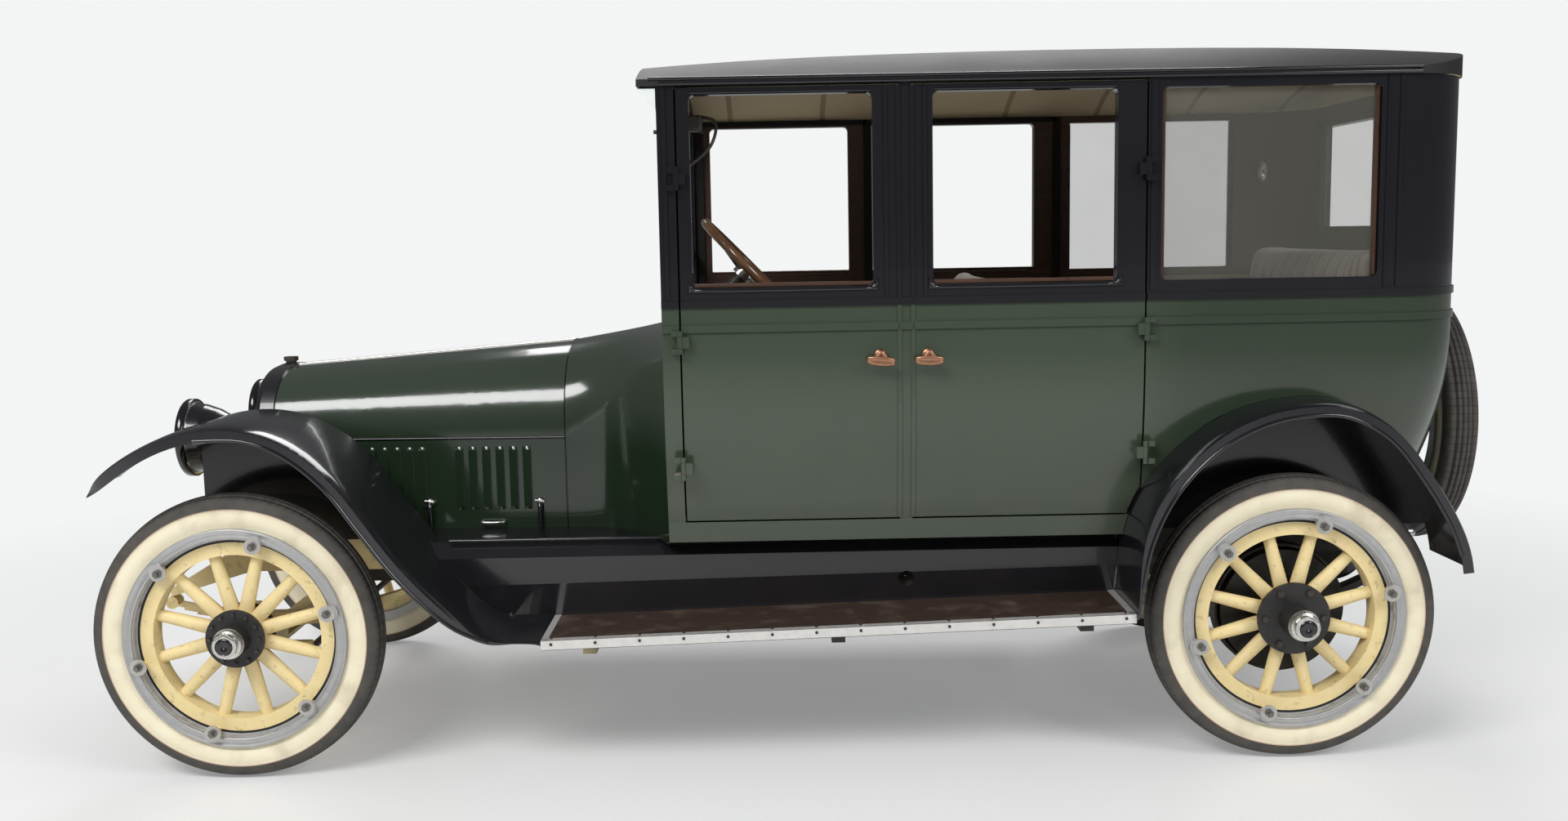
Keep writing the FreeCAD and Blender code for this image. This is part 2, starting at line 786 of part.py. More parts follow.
def make_radiator():
    """A polished shell with a rounded nose round a flat core, and a filler cap on top."""
    half = bonnet_front_half + shell_proud
    top = bonnet_front_top + shell_proud
    front = bonnet_front_x - shell_depth

    def section(x, inset):
        return arch_wire(x, half - inset, bonnet_bottom + inset, bonnet_hinge_z, top - inset,
                         bonnet_fullness_share)

    nose = loft([section(bonnet_front_x, 0), section(front + shell_round, 0)], True)
    edge = shell_round * shell_edge_share
    tip = loft([section(front + shell_round, 0), section(front + edge, edge),
                section(front, shell_round)], True)
    shell = nose.fuse(tip)
    hollow = loft([section(front - cut, shell_rim), section(bonnet_front_x + cut, shell_rim)],
                  True)
    shell = shell.cut(hollow)
    cap_x = bonnet_front_x - cap_radius
    cap = joined([rod((cap_x, 0, top - shell_rim / 2), (cap_x, 0, top + cap_height * cap_neck_shares[1]),
                      cap_radius * cap_neck_shares[2]),
                  rod((cap_x, 0, top + cap_height * cap_neck_shares[0]), (cap_x, 0, top + cap_height),
                      cap_radius)])
    parts["radiator_shell"] = joined([shell, cap])
    core = loft([section(front + core_inset, shell_rim + seat),
                 section(front + core_inset + core_depth, shell_rim + seat)], True)
    pitch = (half - shell_rim) * 2 / core_groove_count
    for index in range(1, core_groove_count):
        y = shell_rim - half + pitch * index
        core = core.cut(box(front, front + core_inset + core_groove_depth, y - core_groove / 2,
                            y + core_groove / 2, bonnet_bottom, top))
    parts["radiator_core"] = core
    engine = box(member_x(0) + member_width + seat, member_x(1) - seat, -engine_half,
                 engine_half, engine_bottom, engine_top)
    gearbox = box(member_x(1) - cut, torque_front_x - seat, -gearbox_half, gearbox_half,
                  engine_bottom, rail_low + rail_wall - seat)
    parts["engine_block"] = joined([engine, gearbox])


# Fenders: the path is the outer edge seen from the side, as shares of a length and a height.
front_path_shares = [
    (0.000, 0.837), (0.073, 0.886), (0.163, 0.955), (0.272, 1.000), (0.378, 0.997),
    (0.465, 0.952), (0.550, 0.858), (0.617, 0.740), (0.684, 0.622), (0.752, 0.527),
    (0.822, 0.455), (0.893, 0.414), (1.000, 0.386),
]
rear_path_shares = [
    (-1.000, 0.434), (-0.981, 0.528), (-0.936, 0.642), (-0.831, 0.757), (-0.688, 0.846),
    (-0.496, 0.925), (-0.254, 0.979), (-0.012, 1.000), (0.231, 0.993), (0.479, 0.927),
    (0.682, 0.812), (0.839, 0.695), (0.919, 0.603), (0.938, 0.556),
]
crown_shares = [(0.0, 0.0), (0.04, 0.45), (0.12, 0.8), (0.28, 1.0), (0.6, 1.0), (1.0, 0.9)]
end_rise_shares = (0.0, 0.25, 0.7)


def path_frames(points):
    """Each point of the path with the direction that points out of the arch."""
    curve = Part.BSplineCurve()
    curve.interpolate([Vector(x, 0, z) for x, z in points])
    frames = []
    for x, z in points:
        tangent = curve.tangent(curve.parameter(Vector(x, 0, z)))[0]
        frames.append((x, z, -tangent.z, tangent.x))
    return frames


def fender_section(frame, inner_y, outer_y, keep, room=None):
    """One section on the car's left, square to the path: a flange and a crowned skin.

    keep shortens the flange and the crown towards an end that lies flat on its neighbour.
    room, where it is given, makes a filled section instead that stands that far outside it.
    """
    x, z, normal_x, normal_z = frame
    flange = fender_flange * keep + fender_sheet * (1 - keep) + (room or 0)
    crown = fender_crown * keep

    def place(share, rise):
        y = -between(outer_y, inner_y, share)
        return Vector(x + normal_x * rise, y, z + normal_z * rise)

    skin = [place(share, flange + rise * crown) for share, rise in crown_shares]
    if room is not None:
        foot, heel = place(0.0, -cut), place(1.0, -cut)
        return Part.Wire([spline(skin), Part.makeLine(skin[-1], heel),
                          Part.makeLine(heel, foot), Part.makeLine(foot, skin[0])])
    flat = fender_sheet / (outer_y - inner_y)
    lining = [place(between(flat, 1.0, share), flange - fender_sheet + rise * crown)
              for share, rise in crown_shares]
    foot, heel = place(0.0, -seat), place(flat, -seat)
    return Part.Wire([
        spline(skin), Part.makeLine(skin[-1], lining[-1]), spline(lining[::-1]),
        Part.makeLine(lining[0], heel), Part.makeLine(heel, foot), Part.makeLine(foot, skin[0])])


def end_keep(steps):
    """How much of the flange and crown is left some steps from a flat end."""
    return end_rise_shares[steps] if steps < len(end_rise_shares) else 1.0


def front_fender_frames():
    points = [(share_x * front_fender_length - front_overhang, share_z * front_fender_height)
              for share_x, share_z in front_path_shares]
    points[-1] = (board_front_x - seat, board_front_z - board_thickness / 2)
    return path_frames(points)


def front_fender_sections(room=None):
    """The front fender narrows to its tip, and its tail lies on the running board's end."""
    frames = front_fender_frames()
    frames[0] = frames[0][:2] + tip_lean
    last = len(frames) - 1
    sections = []
    for index, frame in enumerate(frames):
        tip = max(0.0, 1 - index / 2)
        inner = front_fender_inner + tip * fender_tip_taper
        if index > front_fender_step:
            inner = board_inner
        outer = fender_outer - tip ** 2 * fender_tip_round
        if index == last:
            outer = board_outer
        sections.append(fender_section(frame, inner, outer, end_keep(last - index), room))
    return sections


def rear_fender_frames():
    points = [(wheelbase + share_x * rear_fender_reach, share_z * rear_fender_height)
              for share_x, share_z in rear_path_shares]
    points[0] = (wheelbase - board_back_inset + fender_sheet + seat,
                 board_back_z - board_thickness / 2)
    return path_frames(points)


def rear_fender_sections(inner, room=None):
    return [fender_section(frame, inner, fender_outer, end_keep(index), room)
            for index, frame in enumerate(rear_fender_frames())]


def arch_plate(frames, keeps, y, base, x0, x1):
    """A flat plate under an arched path, from the middle of the skin down to a base line."""
    rim = []
    for (x, z, normal_x, normal_z), keep in zip(frames, keeps):
        rise = fender_flange * keep + fender_sheet * (1 - keep) - fender_sheet / 2
        rise += fender_crown * keep * crown_shares[-1][1]
        rim.append(Vector(x + normal_x * rise, y, z + normal_z * rise))
    far = rim[-1] + Vector(0, 0, base - cut - rim[-1].z)
    near = rim[0] + Vector(0, 0, base - cut - rim[0].z)
    face = Part.Face(Part.Wire([spline(rim), Part.makeLine(rim[-1], far),
                                Part.makeLine(far, near), Part.makeLine(near, rim[0])]))
    plate = face.extrude(Vector(0, -fender_sheet, 0))
    top = rim[0].z + front_fender_height
    return plate.common(box(x0, x1, y - fender_sheet - cut, y + cut, base, top))


def make_fenders():
    front = loft(front_fender_sections())
    frames = front_fender_frames()[2:front_fender_step + 1]
    valance = arch_plate(frames, [1] * len(frames), -front_fender_inner - fender_sheet / 2,
                         rail_top + seat, frames[0][0], frames[-1][0])
    ledge = box(rail_front, frames[-1][0], -front_fender_inner - fender_sheet, -ledge_inner,
                rail_top + seat, rail_top + seat + apron_sheet)
    parts["front_fenders"] = both(joined([front, valance, ledge]))
    rear = loft(rear_fender_sections(rear_fender_inner))
    frames = rear_fender_frames()
    keeps = [end_keep(index) for index in range(len(frames))]
    house = arch_plate(frames, keeps, -rear_fender_inner, body_bottom,
                       wheelbase - rear_fender_height, wheelbase + rear_fender_height)
    parts["rear_fenders"] = both(joined([rear, house]))


def make_boards():
    back = wheelbase - board_back_inset
    board = slab_xz([(board_front_x, board_front_z), (back, board_back_z),
                     (back, board_back_z - board_thickness),
                     (board_front_x, board_front_z - board_thickness)],
                    -board_outer, -board_inner)
    parts["running_boards"] = both(board)


def plan_wire(z, half, front, back, corner):
    """A body outline seen from above: square in front, with rounded corners at the back."""
    turn = corner * (1 - math.sqrt(0.5))
    points = [Vector(front, half, z), Vector(back - corner, half, z),
              Vector(back - turn, half - turn, z), Vector(back, half - corner, z),
              Vector(back, corner - half, z), Vector(back - turn, turn - half, z),
              Vector(back - corner, -half, z), Vector(front, -half, z)]
    return Part.Wire([
        Part.makeLine(points[7], points[0]), Part.makeLine(points[0], points[1]),
        Part.Arc(*points[1:4]).toShape(), Part.makeLine(points[3], points[4]),
        Part.Arc(*points[4:7]).toShape(), Part.makeLine(points[6], points[7])])


# Body levels as shares of the height from the bottom to the belt, with the shares of the
# side's and the back's tuck that are left at each.
body_level_shares = [(0.0, 1.0, 1.0), (0.24, 0.56, 0.58), (0.43, 0.28, 0.29), (0.64, 0.09, 0.08),
                     (1.0, 0.0, 0.0)]


def body_solid(inset, front, low_extra, high):
    back = wheelbase + body_back_overhang - inset
    corner = body_corner - inset
    wires = []
    for height_share, side_share, back_share in body_level_shares:
        z = between(body_bottom, body_belt, height_share)
        half = body_half - inset - side_share * (body_half - body_bottom_half)
        wires.append(plan_wire(z, half, front, back - back_share * body_tuck, corner))
    pieces = [loft(wires)]
    top = plan_wire(body_belt, body_half - inset, front, back, corner)
    pieces.append(Part.Face(top).extrude(Vector(0, 0, high - body_belt)))
    if low_extra:
        foot = plan_wire(body_bottom, body_bottom_half - inset, front, back - body_tuck, corner)
        pieces.append(Part.Face(foot).extrude(Vector(0, 0, -low_extra)))
    return joined(pieces)


def side_half(z):
    """Half the body's width outside at a height."""
    level = (z - body_bottom) / (body_belt - body_bottom)
    tuck = 0.0
    for first, last in zip(body_level_shares, body_level_shares[1:]):
        if first[0] <= level <= last[0]:
            tuck = between(first[1], last[1], (level - first[0]) / (last[0] - first[0]))
    return body_half - tuck * (body_half - body_bottom_half)


def fender_edge_z(x):
    """The rear fender's edge at a place ahead of the axle, or the sill where that is higher."""
    level = sill_top
    path = [frame[:2] for frame in rear_fender_frames()]
    for first, last in zip(path, path[1:]):
        if first[0] <= x <= last[0]:
            level = between(first[1], last[1], (x - first[0]) / (last[0] - first[0]))
    return max(level, sill_top)


def door_hinges(hinge_x, toward):
    """The fixed lugs with their pins, and the door's eyes, of the three hinges of a left door.

    toward is 1 where the door lies behind its hinges and -1 where it lies ahead of them. The
    rear door's hinges start above the fender.
    """
    foot = fender_edge_z(hinge_x + hinge_arm)
    y = -body_half - hinge_offset
    fixed, eyes = [], []
    for share in hinge_level_shares:
        level = between(foot, body_top, share)
        skin_y = hinge_seat - side_half(level)

        def lug(side, low, high):
            x0, x1 = sorted((hinge_x + side * panel_gap / 2,
                             hinge_x + side * (panel_gap / 2 + hinge_arm)))
            plate = box(x0, x1, y - hinge_plate, skin_y, low, high)
            return plate.fuse(rod((hinge_x, y, low), (hinge_x, y, high), hinge_radius))

        half = hinge_eye / 2
        ear = half + pin_gap
        low, high = level - ear - hinge_ear, level + ear + hinge_ear
        fixed += [lug(-toward, low, level - ear), lug(-toward, level + ear, high),
                  rod((hinge_x, y, low), (hinge_x, y, high), hinge_pin_radius)]
        eye = lug(toward, level - half, level + half)
        eyes.append(eye.cut(rod((hinge_x, y, low), (hinge_x, y, high),
                                hinge_pin_radius + pin_play)))
    return fixed, eyes


def window_hole(x0, x1, y0, y1, sill, head):
    hole = box(x0, x1, y0, y1, sill, head)
    edges = [edge for edge in hole.Edges
             if abs(edge.tangentAt(edge.FirstParameter).y) > 0.5]
    return hole.makeFillet(window_corner, edges)


def make_body():
    outer = body_solid(0, body_front_x, 0, body_top)
    for z in (lower_bead_z, upper_bead_z):
        bead = plan_wire(z, body_half + bead_proud, body_front_x,
                         wheelbase + body_back_overhang + bead_proud, body_corner + bead_proud)
        outer = outer.fuse(Part.Face(bead).extrude(Vector(0, 0, bead_height)))
    inner = body_solid(body_wall, body_front_x - cut, cut, body_top + cut)
    shell = outer.cut(inner)
    wide = body_half + cut
    back = wheelbase + body_back_overhang + cut
    front_door_x = body_front_x + post_width + panel_gap / 2
    centre_x = front_door_x + front_door_width
    rear_door_x = centre_x + centre_post_width
    rear_door_end = wheelbase - rear_door_inset

    left_shell = shell.common(box(body_front_x - cut, back, -wide, 0, body_bottom - cut, body_top))
    front_fixed, front_eyes = door_hinges(front_door_x - panel_gap / 2, 1)
    rear_fixed, rear_eyes = door_hinges(rear_door_end + panel_gap / 2, -1)
    posts = []
    for x0, x1 in ((body_front_x, front_door_x - panel_gap),
                   (centre_x + panel_gap, rear_door_x - panel_gap)):
        posts.append(left_shell.common(box(x0, x1, -wide, 0, sill_top, body_top)))
    posts[0] = joined([posts[0]] + front_fixed)
    parts["door_posts"] = Part.makeCompound(posts + [mirror(post) for post in posts])

    doors = (("front", front_door_x, centre_x, front_door_stiles),
             ("rear", rear_door_x, rear_door_end, rear_door_stiles))
    for name, x0, x1, stiles in doors:
        door = left_shell.common(box(x0, x1, -wide, 0, sill_top + panel_gap,
                                     body_top - panel_gap))
        door = door.cut(window_hole(x0 + stiles[0], x1 - stiles[1], -wide, 0, window_sill,
                                    window_head))
        hinge_x, free_x = (x0 - panel_gap / 2, x1) if name == "front" else (x1 + panel_gap / 2, x0)
        swing = Part.makeCylinder(abs(free_x - hinge_x), body_top,
                                  Vector(hinge_x, -body_half - hinge_offset, 0))
        door = door.common(swing)
        if name == "rear":
            door = door.cut(loft(rear_fender_sections(board_inner, door_fender_gap)))
            door = biggest(door)
        door = joined([door] + (front_eyes if name == "front" else rear_eyes))
        parts["door_" + name + "_left"] = door
        parts["door_" + name + "_right"] = mirror(door)

    rear_x = rear_door_end + panel_gap
    rear = shell.common(box(rear_x, back, -wide, wide, body_bottom - cut, body_top))
    fender_room = loft(rear_fender_sections(rear_fender_inner - seat, seat))
    for room in (fender_room, mirror(fender_room)):
        rear = rear.cut(room)
    arch = rod((wheelbase, -wide, wheel_z), (wheelbase, wide, wheel_z), rear_fender_reach)
    rear = rear.cut(arch)
    x0, x1 = rear_x + quarter_front, back - cut - quarter_back
    rear = rear.cut(window_hole(x0, x1, -wide, wide, window_sill, window_head))
    window = box(back - cut - body_corner, back, -back_window_half, back_window_half,
                 back_window_sill, back_window_head)
    rear = rear.cut(window)
    rear = joined([biggest(rear)] + rear_fixed + [mirror(piece) for piece in rear_fixed])
    parts["rear_body"] = rear

    slab_top = body_bottom + floor_thickness
    front_floor = outer.common(box(body_front_x, rear_x, -wide, wide, body_bottom, slab_top))
    rear_floor = inner.common(box(rear_x, back, -rear_fender_inner + seat,
                                  rear_fender_inner - seat, body_bottom, slab_top))
    sills = left_shell.common(box(body_front_x, rear_x - panel_gap, -wide, 0, slab_top, sill_top))
    runners = box(body_front_x, wheelbase, -rail_y, rail_width - rail_y,
                  bonnet_bottom, body_bottom)
    floor = joined([front_floor, rear_floor, sills, mirror(sills), runners, mirror(runners)])
    wide_room = loft(rear_fender_sections(rear_fender_inner - seat, pin_gap))
    for room in (wide_room, mirror(wide_room)):
        floor = floor.cut(room)
    parts["body_floor"] = biggest(floor)


# Cowl stations as shares of its length, with the share of the flare from bonnet to body at each.
cowl_shares = [(0.0, 0.0), (0.25, 0.016), (0.5, 0.125), (0.72, 0.373), (0.88, 0.681), (1.0, 1.0)]


def cowl_wire(share, flare, inset):
    x = between(bonnet_back_x, body_front_x, share)
    half = between(bonnet_back_half, cowl_half, flare) - inset
    foot = between(bonnet_back_half, body_bottom_half, flare) - inset
    top = between(bonnet_back_top, cowl_top, share) - inset
    shoulder = between(bonnet_hinge_z, cowl_shoulder, share)
    fullness = between(bonnet_fullness_share, cowl_fullness_share, flare)
    return arch_wire(x, half, bonnet_bottom, shoulder, top, fullness, foot)


def make_cowl():
    """The scuttle flares from the bonnet to the full width of the body."""
    outer = loft([cowl_wire(share, flare, 0) for share, flare in cowl_shares])
    inner = loft([cowl_wire(share, flare, cowl_sheet) for share, flare in cowl_shares])
    cowl = outer.cut(inner)
    wall = loft([cowl_wire(share, flare, cowl_sheet / 2) for share, flare in cowl_shares[:2]])
    wall = wall.common(box(bonnet_back_x, bonnet_back_x + cowl_sheet, -body_half, body_half,
                           body_bottom - cut, cowl_top))
    cowl = joined([cowl, wall]).common(
        box(bonnet_back_x + seat, body_front_x - seat, -body_half, body_half,
            bonnet_bottom, cowl_top + cut))
    hub_y = steering_hub[1]
    ends = [(x, hub_y, column_z(x)) for x in (bonnet_back_x - cut, bonnet_back_x + cut * 2)]
    parts["cowl"] = cowl.cut(rod(ends[0], ends[1], column_radius + column_room))


def make_roof():
    """A crowned roof over a rail all round, with a visor that overhangs the windscreen."""
    back = wheelbase + body_back_overhang
    front = body_front_x - visor_reach
    rail = body_top + roof_edge

    def section(x, crown, inset):
        half = body_half + roof_overhang - inset
        low = body_top + (0 if not inset else -cut)
        edge, top = rail - inset, rail + crown - inset
        shoulder = Vector(x, -half * roof_shoulder_share, between(edge, top, roof_rise_share))
        far = Vector(x, half * roof_shoulder_share, between(edge, top, roof_rise_share))
        arc = spline([Vector(x, -half, edge), shoulder, Vector(x, 0, top), far,
                      Vector(x, half, edge)])
        return Part.Wire([Part.makeLine(Vector(x, half, edge), Vector(x, half, low)),
                          Part.makeLine(Vector(x, half, low), Vector(x, -half, low)),
                          Part.makeLine(Vector(x, -half, low), Vector(x, -half, edge)), arc])

    stations = [(between(front, back, place), roof_crown * height)
                for place, height in roof_crown_shares]
    stations = ([(front - seat, roof_front_crown)] + stations
                + [(back + roof_overhang, roof_crown * roof_back_share)])
    solid = loft([section(x, crown, 0) for x, crown in stations])
    plan = plan_wire(body_top, body_half + roof_overhang, front, back + roof_overhang,
                     body_corner + roof_overhang)
    outline = Part.Face(plan).extrude(Vector(0, 0, roof_crown * 2))
    solid = solid.common(outline)
    hollow = loft([section(x, crown, roof_thickness) for x, crown in stations])
    inside = plan_wire(body_top - cut, body_half - body_wall, body_front_x + header_depth,
                       back - body_wall, body_corner - body_wall)
    hollow = hollow.common(Part.Face(inside).extrude(Vector(0, 0, roof_crown * 2 + cut)))
    solid = solid.cut(hollow)
    visor = slab_xz([(front + visor_lip, body_top), (body_front_x - seat, body_top),
                     (body_front_x - seat, body_top - visor_drop)],
                    -body_half + visor_lip, body_half - visor_lip)
    parts["roof"] = joined([solid, visor])


def make_windscreen(lenses):
    """A two-pane screen between the front posts, the dashboard, and all the fixed glass."""
    half = body_half - body_wall - seat
    x0, x1 = body_front_x + seat, body_front_x + screen_depth
    high = body_top - seat
    frame = box(x0, x1, -half, half, cowl_top - seat, high)
    middle = between(cowl_top, high, screen_split_share)
    panes = []
    for bottom, top in ((cowl_top + screen_bar, middle - screen_bar / 2),
                        (middle + screen_bar / 2, high - screen_bar * 2)):
        hole = box(x0 - cut, x1 + cut, -half + screen_bar, half - screen_bar, bottom, top)
        frame = frame.cut(hole)
        pane_x = (x0 + x1 - glass_thickness) / 2
        panes.append(box(pane_x, pane_x + glass_thickness, -half + screen_bar + seat,
                         half - screen_bar - seat, bottom + seat, top - seat))
    hole = rod((x0 - cut, steering_hub[1], column_z(x0 - cut)),
               (x1 + cut, steering_hub[1], column_z(x1 + cut)), column_radius * column_hole_share)
    dash_half = side_half(cowl_top - dash_height) - body_wall - seat
    dash = box(x0, x0 + dash_thickness, -dash_half, dash_half, cowl_top - dash_height,
               cowl_top - seat * 2)
    dash = dash.cut(hole)
    dials = []
    for share in dial_shares:
        y, z = share * half, cowl_top - dash_height * dial_level_share
        dials.append(rod((x0 + dash_thickness, y, z), (x0 + dash_thickness + dial_depth, y, z),
                         dial_radius))
    parts["windscreen_frame"] = frame
    parts["dashboard"] = joined([dash] + dials)

    quarter_x0 = wheelbase - rear_door_inset + panel_gap + quarter_front
    quarter_x1 = wheelbase + body_back_overhang - quarter_back
    outer_y = body_half - body_wall / 2
    quarter = window_hole(quarter_x0 + seat, quarter_x1 - seat, -outer_y - glass_thickness / 2,
                          -outer_y + glass_thickness / 2, window_sill + seat, window_head - seat)
    back_x = wheelbase + body_back_overhang - body_wall / 2
    rear = box(back_x, back_x + glass_thickness, -back_window_half + seat,
               back_window_half - seat, back_window_sill + seat, back_window_head - seat)
    parts["glazing"] = Part.makeCompound(panes + [quarter, mirror(quarter), rear] + lenses)


def column_z(x):
    hub_x, hub_y, hub_z = steering_hub
    return hub_z + (x - hub_x) * math.tan(math.radians(steering_rake))


def make_aprons():
    """A sheet that covers the frame from the bonnet and the body down to the running board."""
    back = wheelbase - board_back_inset
    sections = []
    for x in (front_fender_frames()[front_fender_step][0] + seat, back + apron_back_reach):
        share = (x - board_front_x) / (back - board_front_x)
        foot = between(board_front_z, board_back_z, share)
        outer = [(apron_inner, rail_top), (board_inner - apron_shoulder, rail_top),
                 (board_inner + apron_bulge, rail_top - apron_fall),
                 (board_inner + apron_bulge * apron_bulge_share,
                  between(foot, rail_top, apron_waist_share)),
                 (board_inner - seat, foot + apron_sheet),
                 (board_inner - seat, foot - board_thickness)]
        sheet = apron_sheet
        skin = [Vector(x, -y, z + seat + sheet) for y, z in outer]
        lining = [Vector(x, -y + sheet, z + seat) for y, z in outer]
        lining[0] = skin[0] - Vector(0, 0, sheet)
        points = skin + lining[::-1]
        sections.append(Part.makePolygon(points + points[:1]))
    sheet = loft(sections, True)
    for room in (loft(front_fender_sections(pin_gap)),
                 loft(rear_fender_sections(board_inner - cut, pin_gap))):
        sheet = sheet.cut(room)
    path = rear_fender_frames()
    above = [index for index, frame in enumerate(path) if frame[1] > bonnet_bottom]
    arch = [frame[:2] for frame in path[:above[0] + 1]]
    behind = slab_xz([(arch[0][0], board_front_z - board_thickness)] + arch
                     + [(wheelbase, arch[-1][1]), (wheelbase, board_front_z - board_thickness)],
                     -board_outer, -apron_inner + cut)
    sheet = sheet.cut(behind)
    hole = rod((apron_hole_x, -board_outer, apron_hole_z),
               (apron_hole_x, -apron_inner, apron_hole_z), apron_hole_radius)
    parts["splash_aprons"] = both(biggest(sheet.cut(hole)))


def lamp_profile():
    """The bell of a headlamp from its rim back to its tail."""
    shares = [(0.0, 1.0), (0.1, 1.0), (0.12, 0.92), (0.3, 0.86), (0.5, 0.74), (0.7, 0.55),
              (0.86, 0.34), (0.95, 0.2), (1.0, 0.12)]
    return [(share * lamp_length, radius * lamp_radius) for share, radius in shares]


def make_headlamps():
    """Returns the two lenses, which share a node with the other glass."""
    outer = lamp_profile()
    inner = [(reach, radius - lens_thickness) for reach, radius in outer[:-2]]
    profile = outer + [(lamp_length, 0), (outer[-2][0], 0)] + inner[::-1]
    y = -lamp_y
    bell = turned_x(profile, lamp_front_x, y, lamp_z)
    lens_x = lamp_front_x + lamp_rim / 2
    lens = rod((lens_x, y, lamp_z), (lens_x + lens_thickness, y, lamp_z),
               lamp_radius - lens_thickness - seat)
    base = (rail_front + rail_width / 2, rail_width / 2 - rail_y, bonnet_bottom)
    foot = base[:2] + (base[2] + lamp_foot_height,)
    neck = (lamp_front_x + lamp_length * lamp_neck_shares[0], y,
            lamp_z - lamp_radius * lamp_neck_shares[1])
    post = rod(foot, neck, lamp_post_radius)
    parts["headlamps"] = both(joined([bell, post, rod(base, foot, lamp_foot_radius)]))
    return [lens, mirror(lens)]


def make_seats():
    """Bench cushions on boxes, with leaning backs; the upholstery is plain here."""
    def bench(x, depth, top, back_top, back_thickness, half):
        base_half = half * seat_base_share
        base = box(x + cushion_round, x + depth + back_thickness * seat_base_share,
                   -base_half, base_half, body_bottom + floor_thickness + seat,
                   top - cushion_thickness - seat)
        cushion = box(x, x + depth - seat, -half, half, top - cushion_thickness, top)
        cushion = cushion.makeFillet(cushion_round, cushion.Edges)
        lean = (back_top - top) * seat_lean_share
        x1 = x + depth
        x2 = x1 + back_thickness * seat_rest_share
        back = slab_xz([(x1, top - cushion_thickness), (x2, top - cushion_thickness),
                        (x2 + lean, back_top), (x1 + lean, back_top)], -half, half)
        back = back.makeFillet(cushion_round, back.Edges)
        return base, cushion, back

    front = bench(front_seat_x, front_seat_depth, front_seat_top, front_seat_back_top,
                  front_seat_back_thickness, seat_half)
    rear = bench(rear_seat_x, rear_seat_depth, rear_seat_top, rear_seat_back_top,
                 rear_seat_back_thickness, rear_seat_half)
    parts["seat_bases"] = Part.makeCompound([front[0], rear[0]])
    parts["front_seat"] = Part.makeCompound(list(front[1:]))
    parts["rear_seat"] = Part.makeCompound(list(rear[1:]))


def make_steering_column():
    """The column runs from the frame up through the scuttle to the wheel, on the driver's side."""
    hub_x, hub_y, hub_z = steering_hub
    rake = math.radians(steering_rake)
    axis = Vector(math.cos(rake), 0, math.sin(rake))
    hub = Vector(hub_x, hub_y, hub_z)
    base = hub - axis * ((hub_z - rail_top) / math.sin(rake))
    collar = hub - axis * steering_dish
    foot = base + axis * column_foot
    column = rod(tuple(foot), tuple(collar - axis * pin_gap), column_radius)
    housing = box(base.x - gear_box, base.x + gear_box, hub_y - gear_box_width / 2,
                  hub_y + gear_box_width / 2, rail_top - gear_box, rail_top + gear_box)
    bracket = box(base.x - gear_bracket, base.x + gear_bracket, rail_wall + seat - rail_y, hub_y,
                  rail_top - gear_box, rail_top - gear_box + gear_bracket)
    levers = []
    floor_z = body_bottom + floor_thickness
    for x, y, reach, lean in lever_places:
        knob = (x + lean, y, floor_z + reach)
        foot, root = (x, y, floor_z + seat), (x, y, floor_z + seat + lever_radius)
        levers.append(joined([rod(foot, root, lever_radius * 2), rod(root, knob, lever_radius),
                              Part.makeSphere(knob_radius, Vector(*knob))]))
    pedals = []
    for y in pedal_places:
        pedals.append(box(pedal_x, pedal_x + pedal_thickness, y - pedal_size / 2,
                          y + pedal_size / 2, floor_z + seat, floor_z + pedal_height))
    parts["driver_controls"] = Part.makeCompound(
        [joined([column, housing, bracket])] + levers + pedals)

    wheel_centre = hub
    ring = Part.makeTorus(steering_wheel_radius - steering_rim_radius, steering_rim_radius,
                          wheel_centre, axis)
    boss = Part.makeCylinder(steering_hub_radius, steering_hub_height, collar, axis)
    pieces = [ring, boss]
    sideways = Vector(-math.sin(rake), 0, math.cos(rake))
    for index in range(steering_spokes):
        angle = 2 * math.pi * (index + 0.5) / steering_spokes
        ray = sideways * math.cos(angle) + across * math.sin(angle)
        start = collar + axis * steering_hub_height / 2
        end = wheel_centre + ray * (steering_wheel_radius - steering_rim_radius)
        pieces.append(rod(tuple(start), tuple(end), steering_spoke_radius))
    parts["steering_wheel"] = joined(pieces)


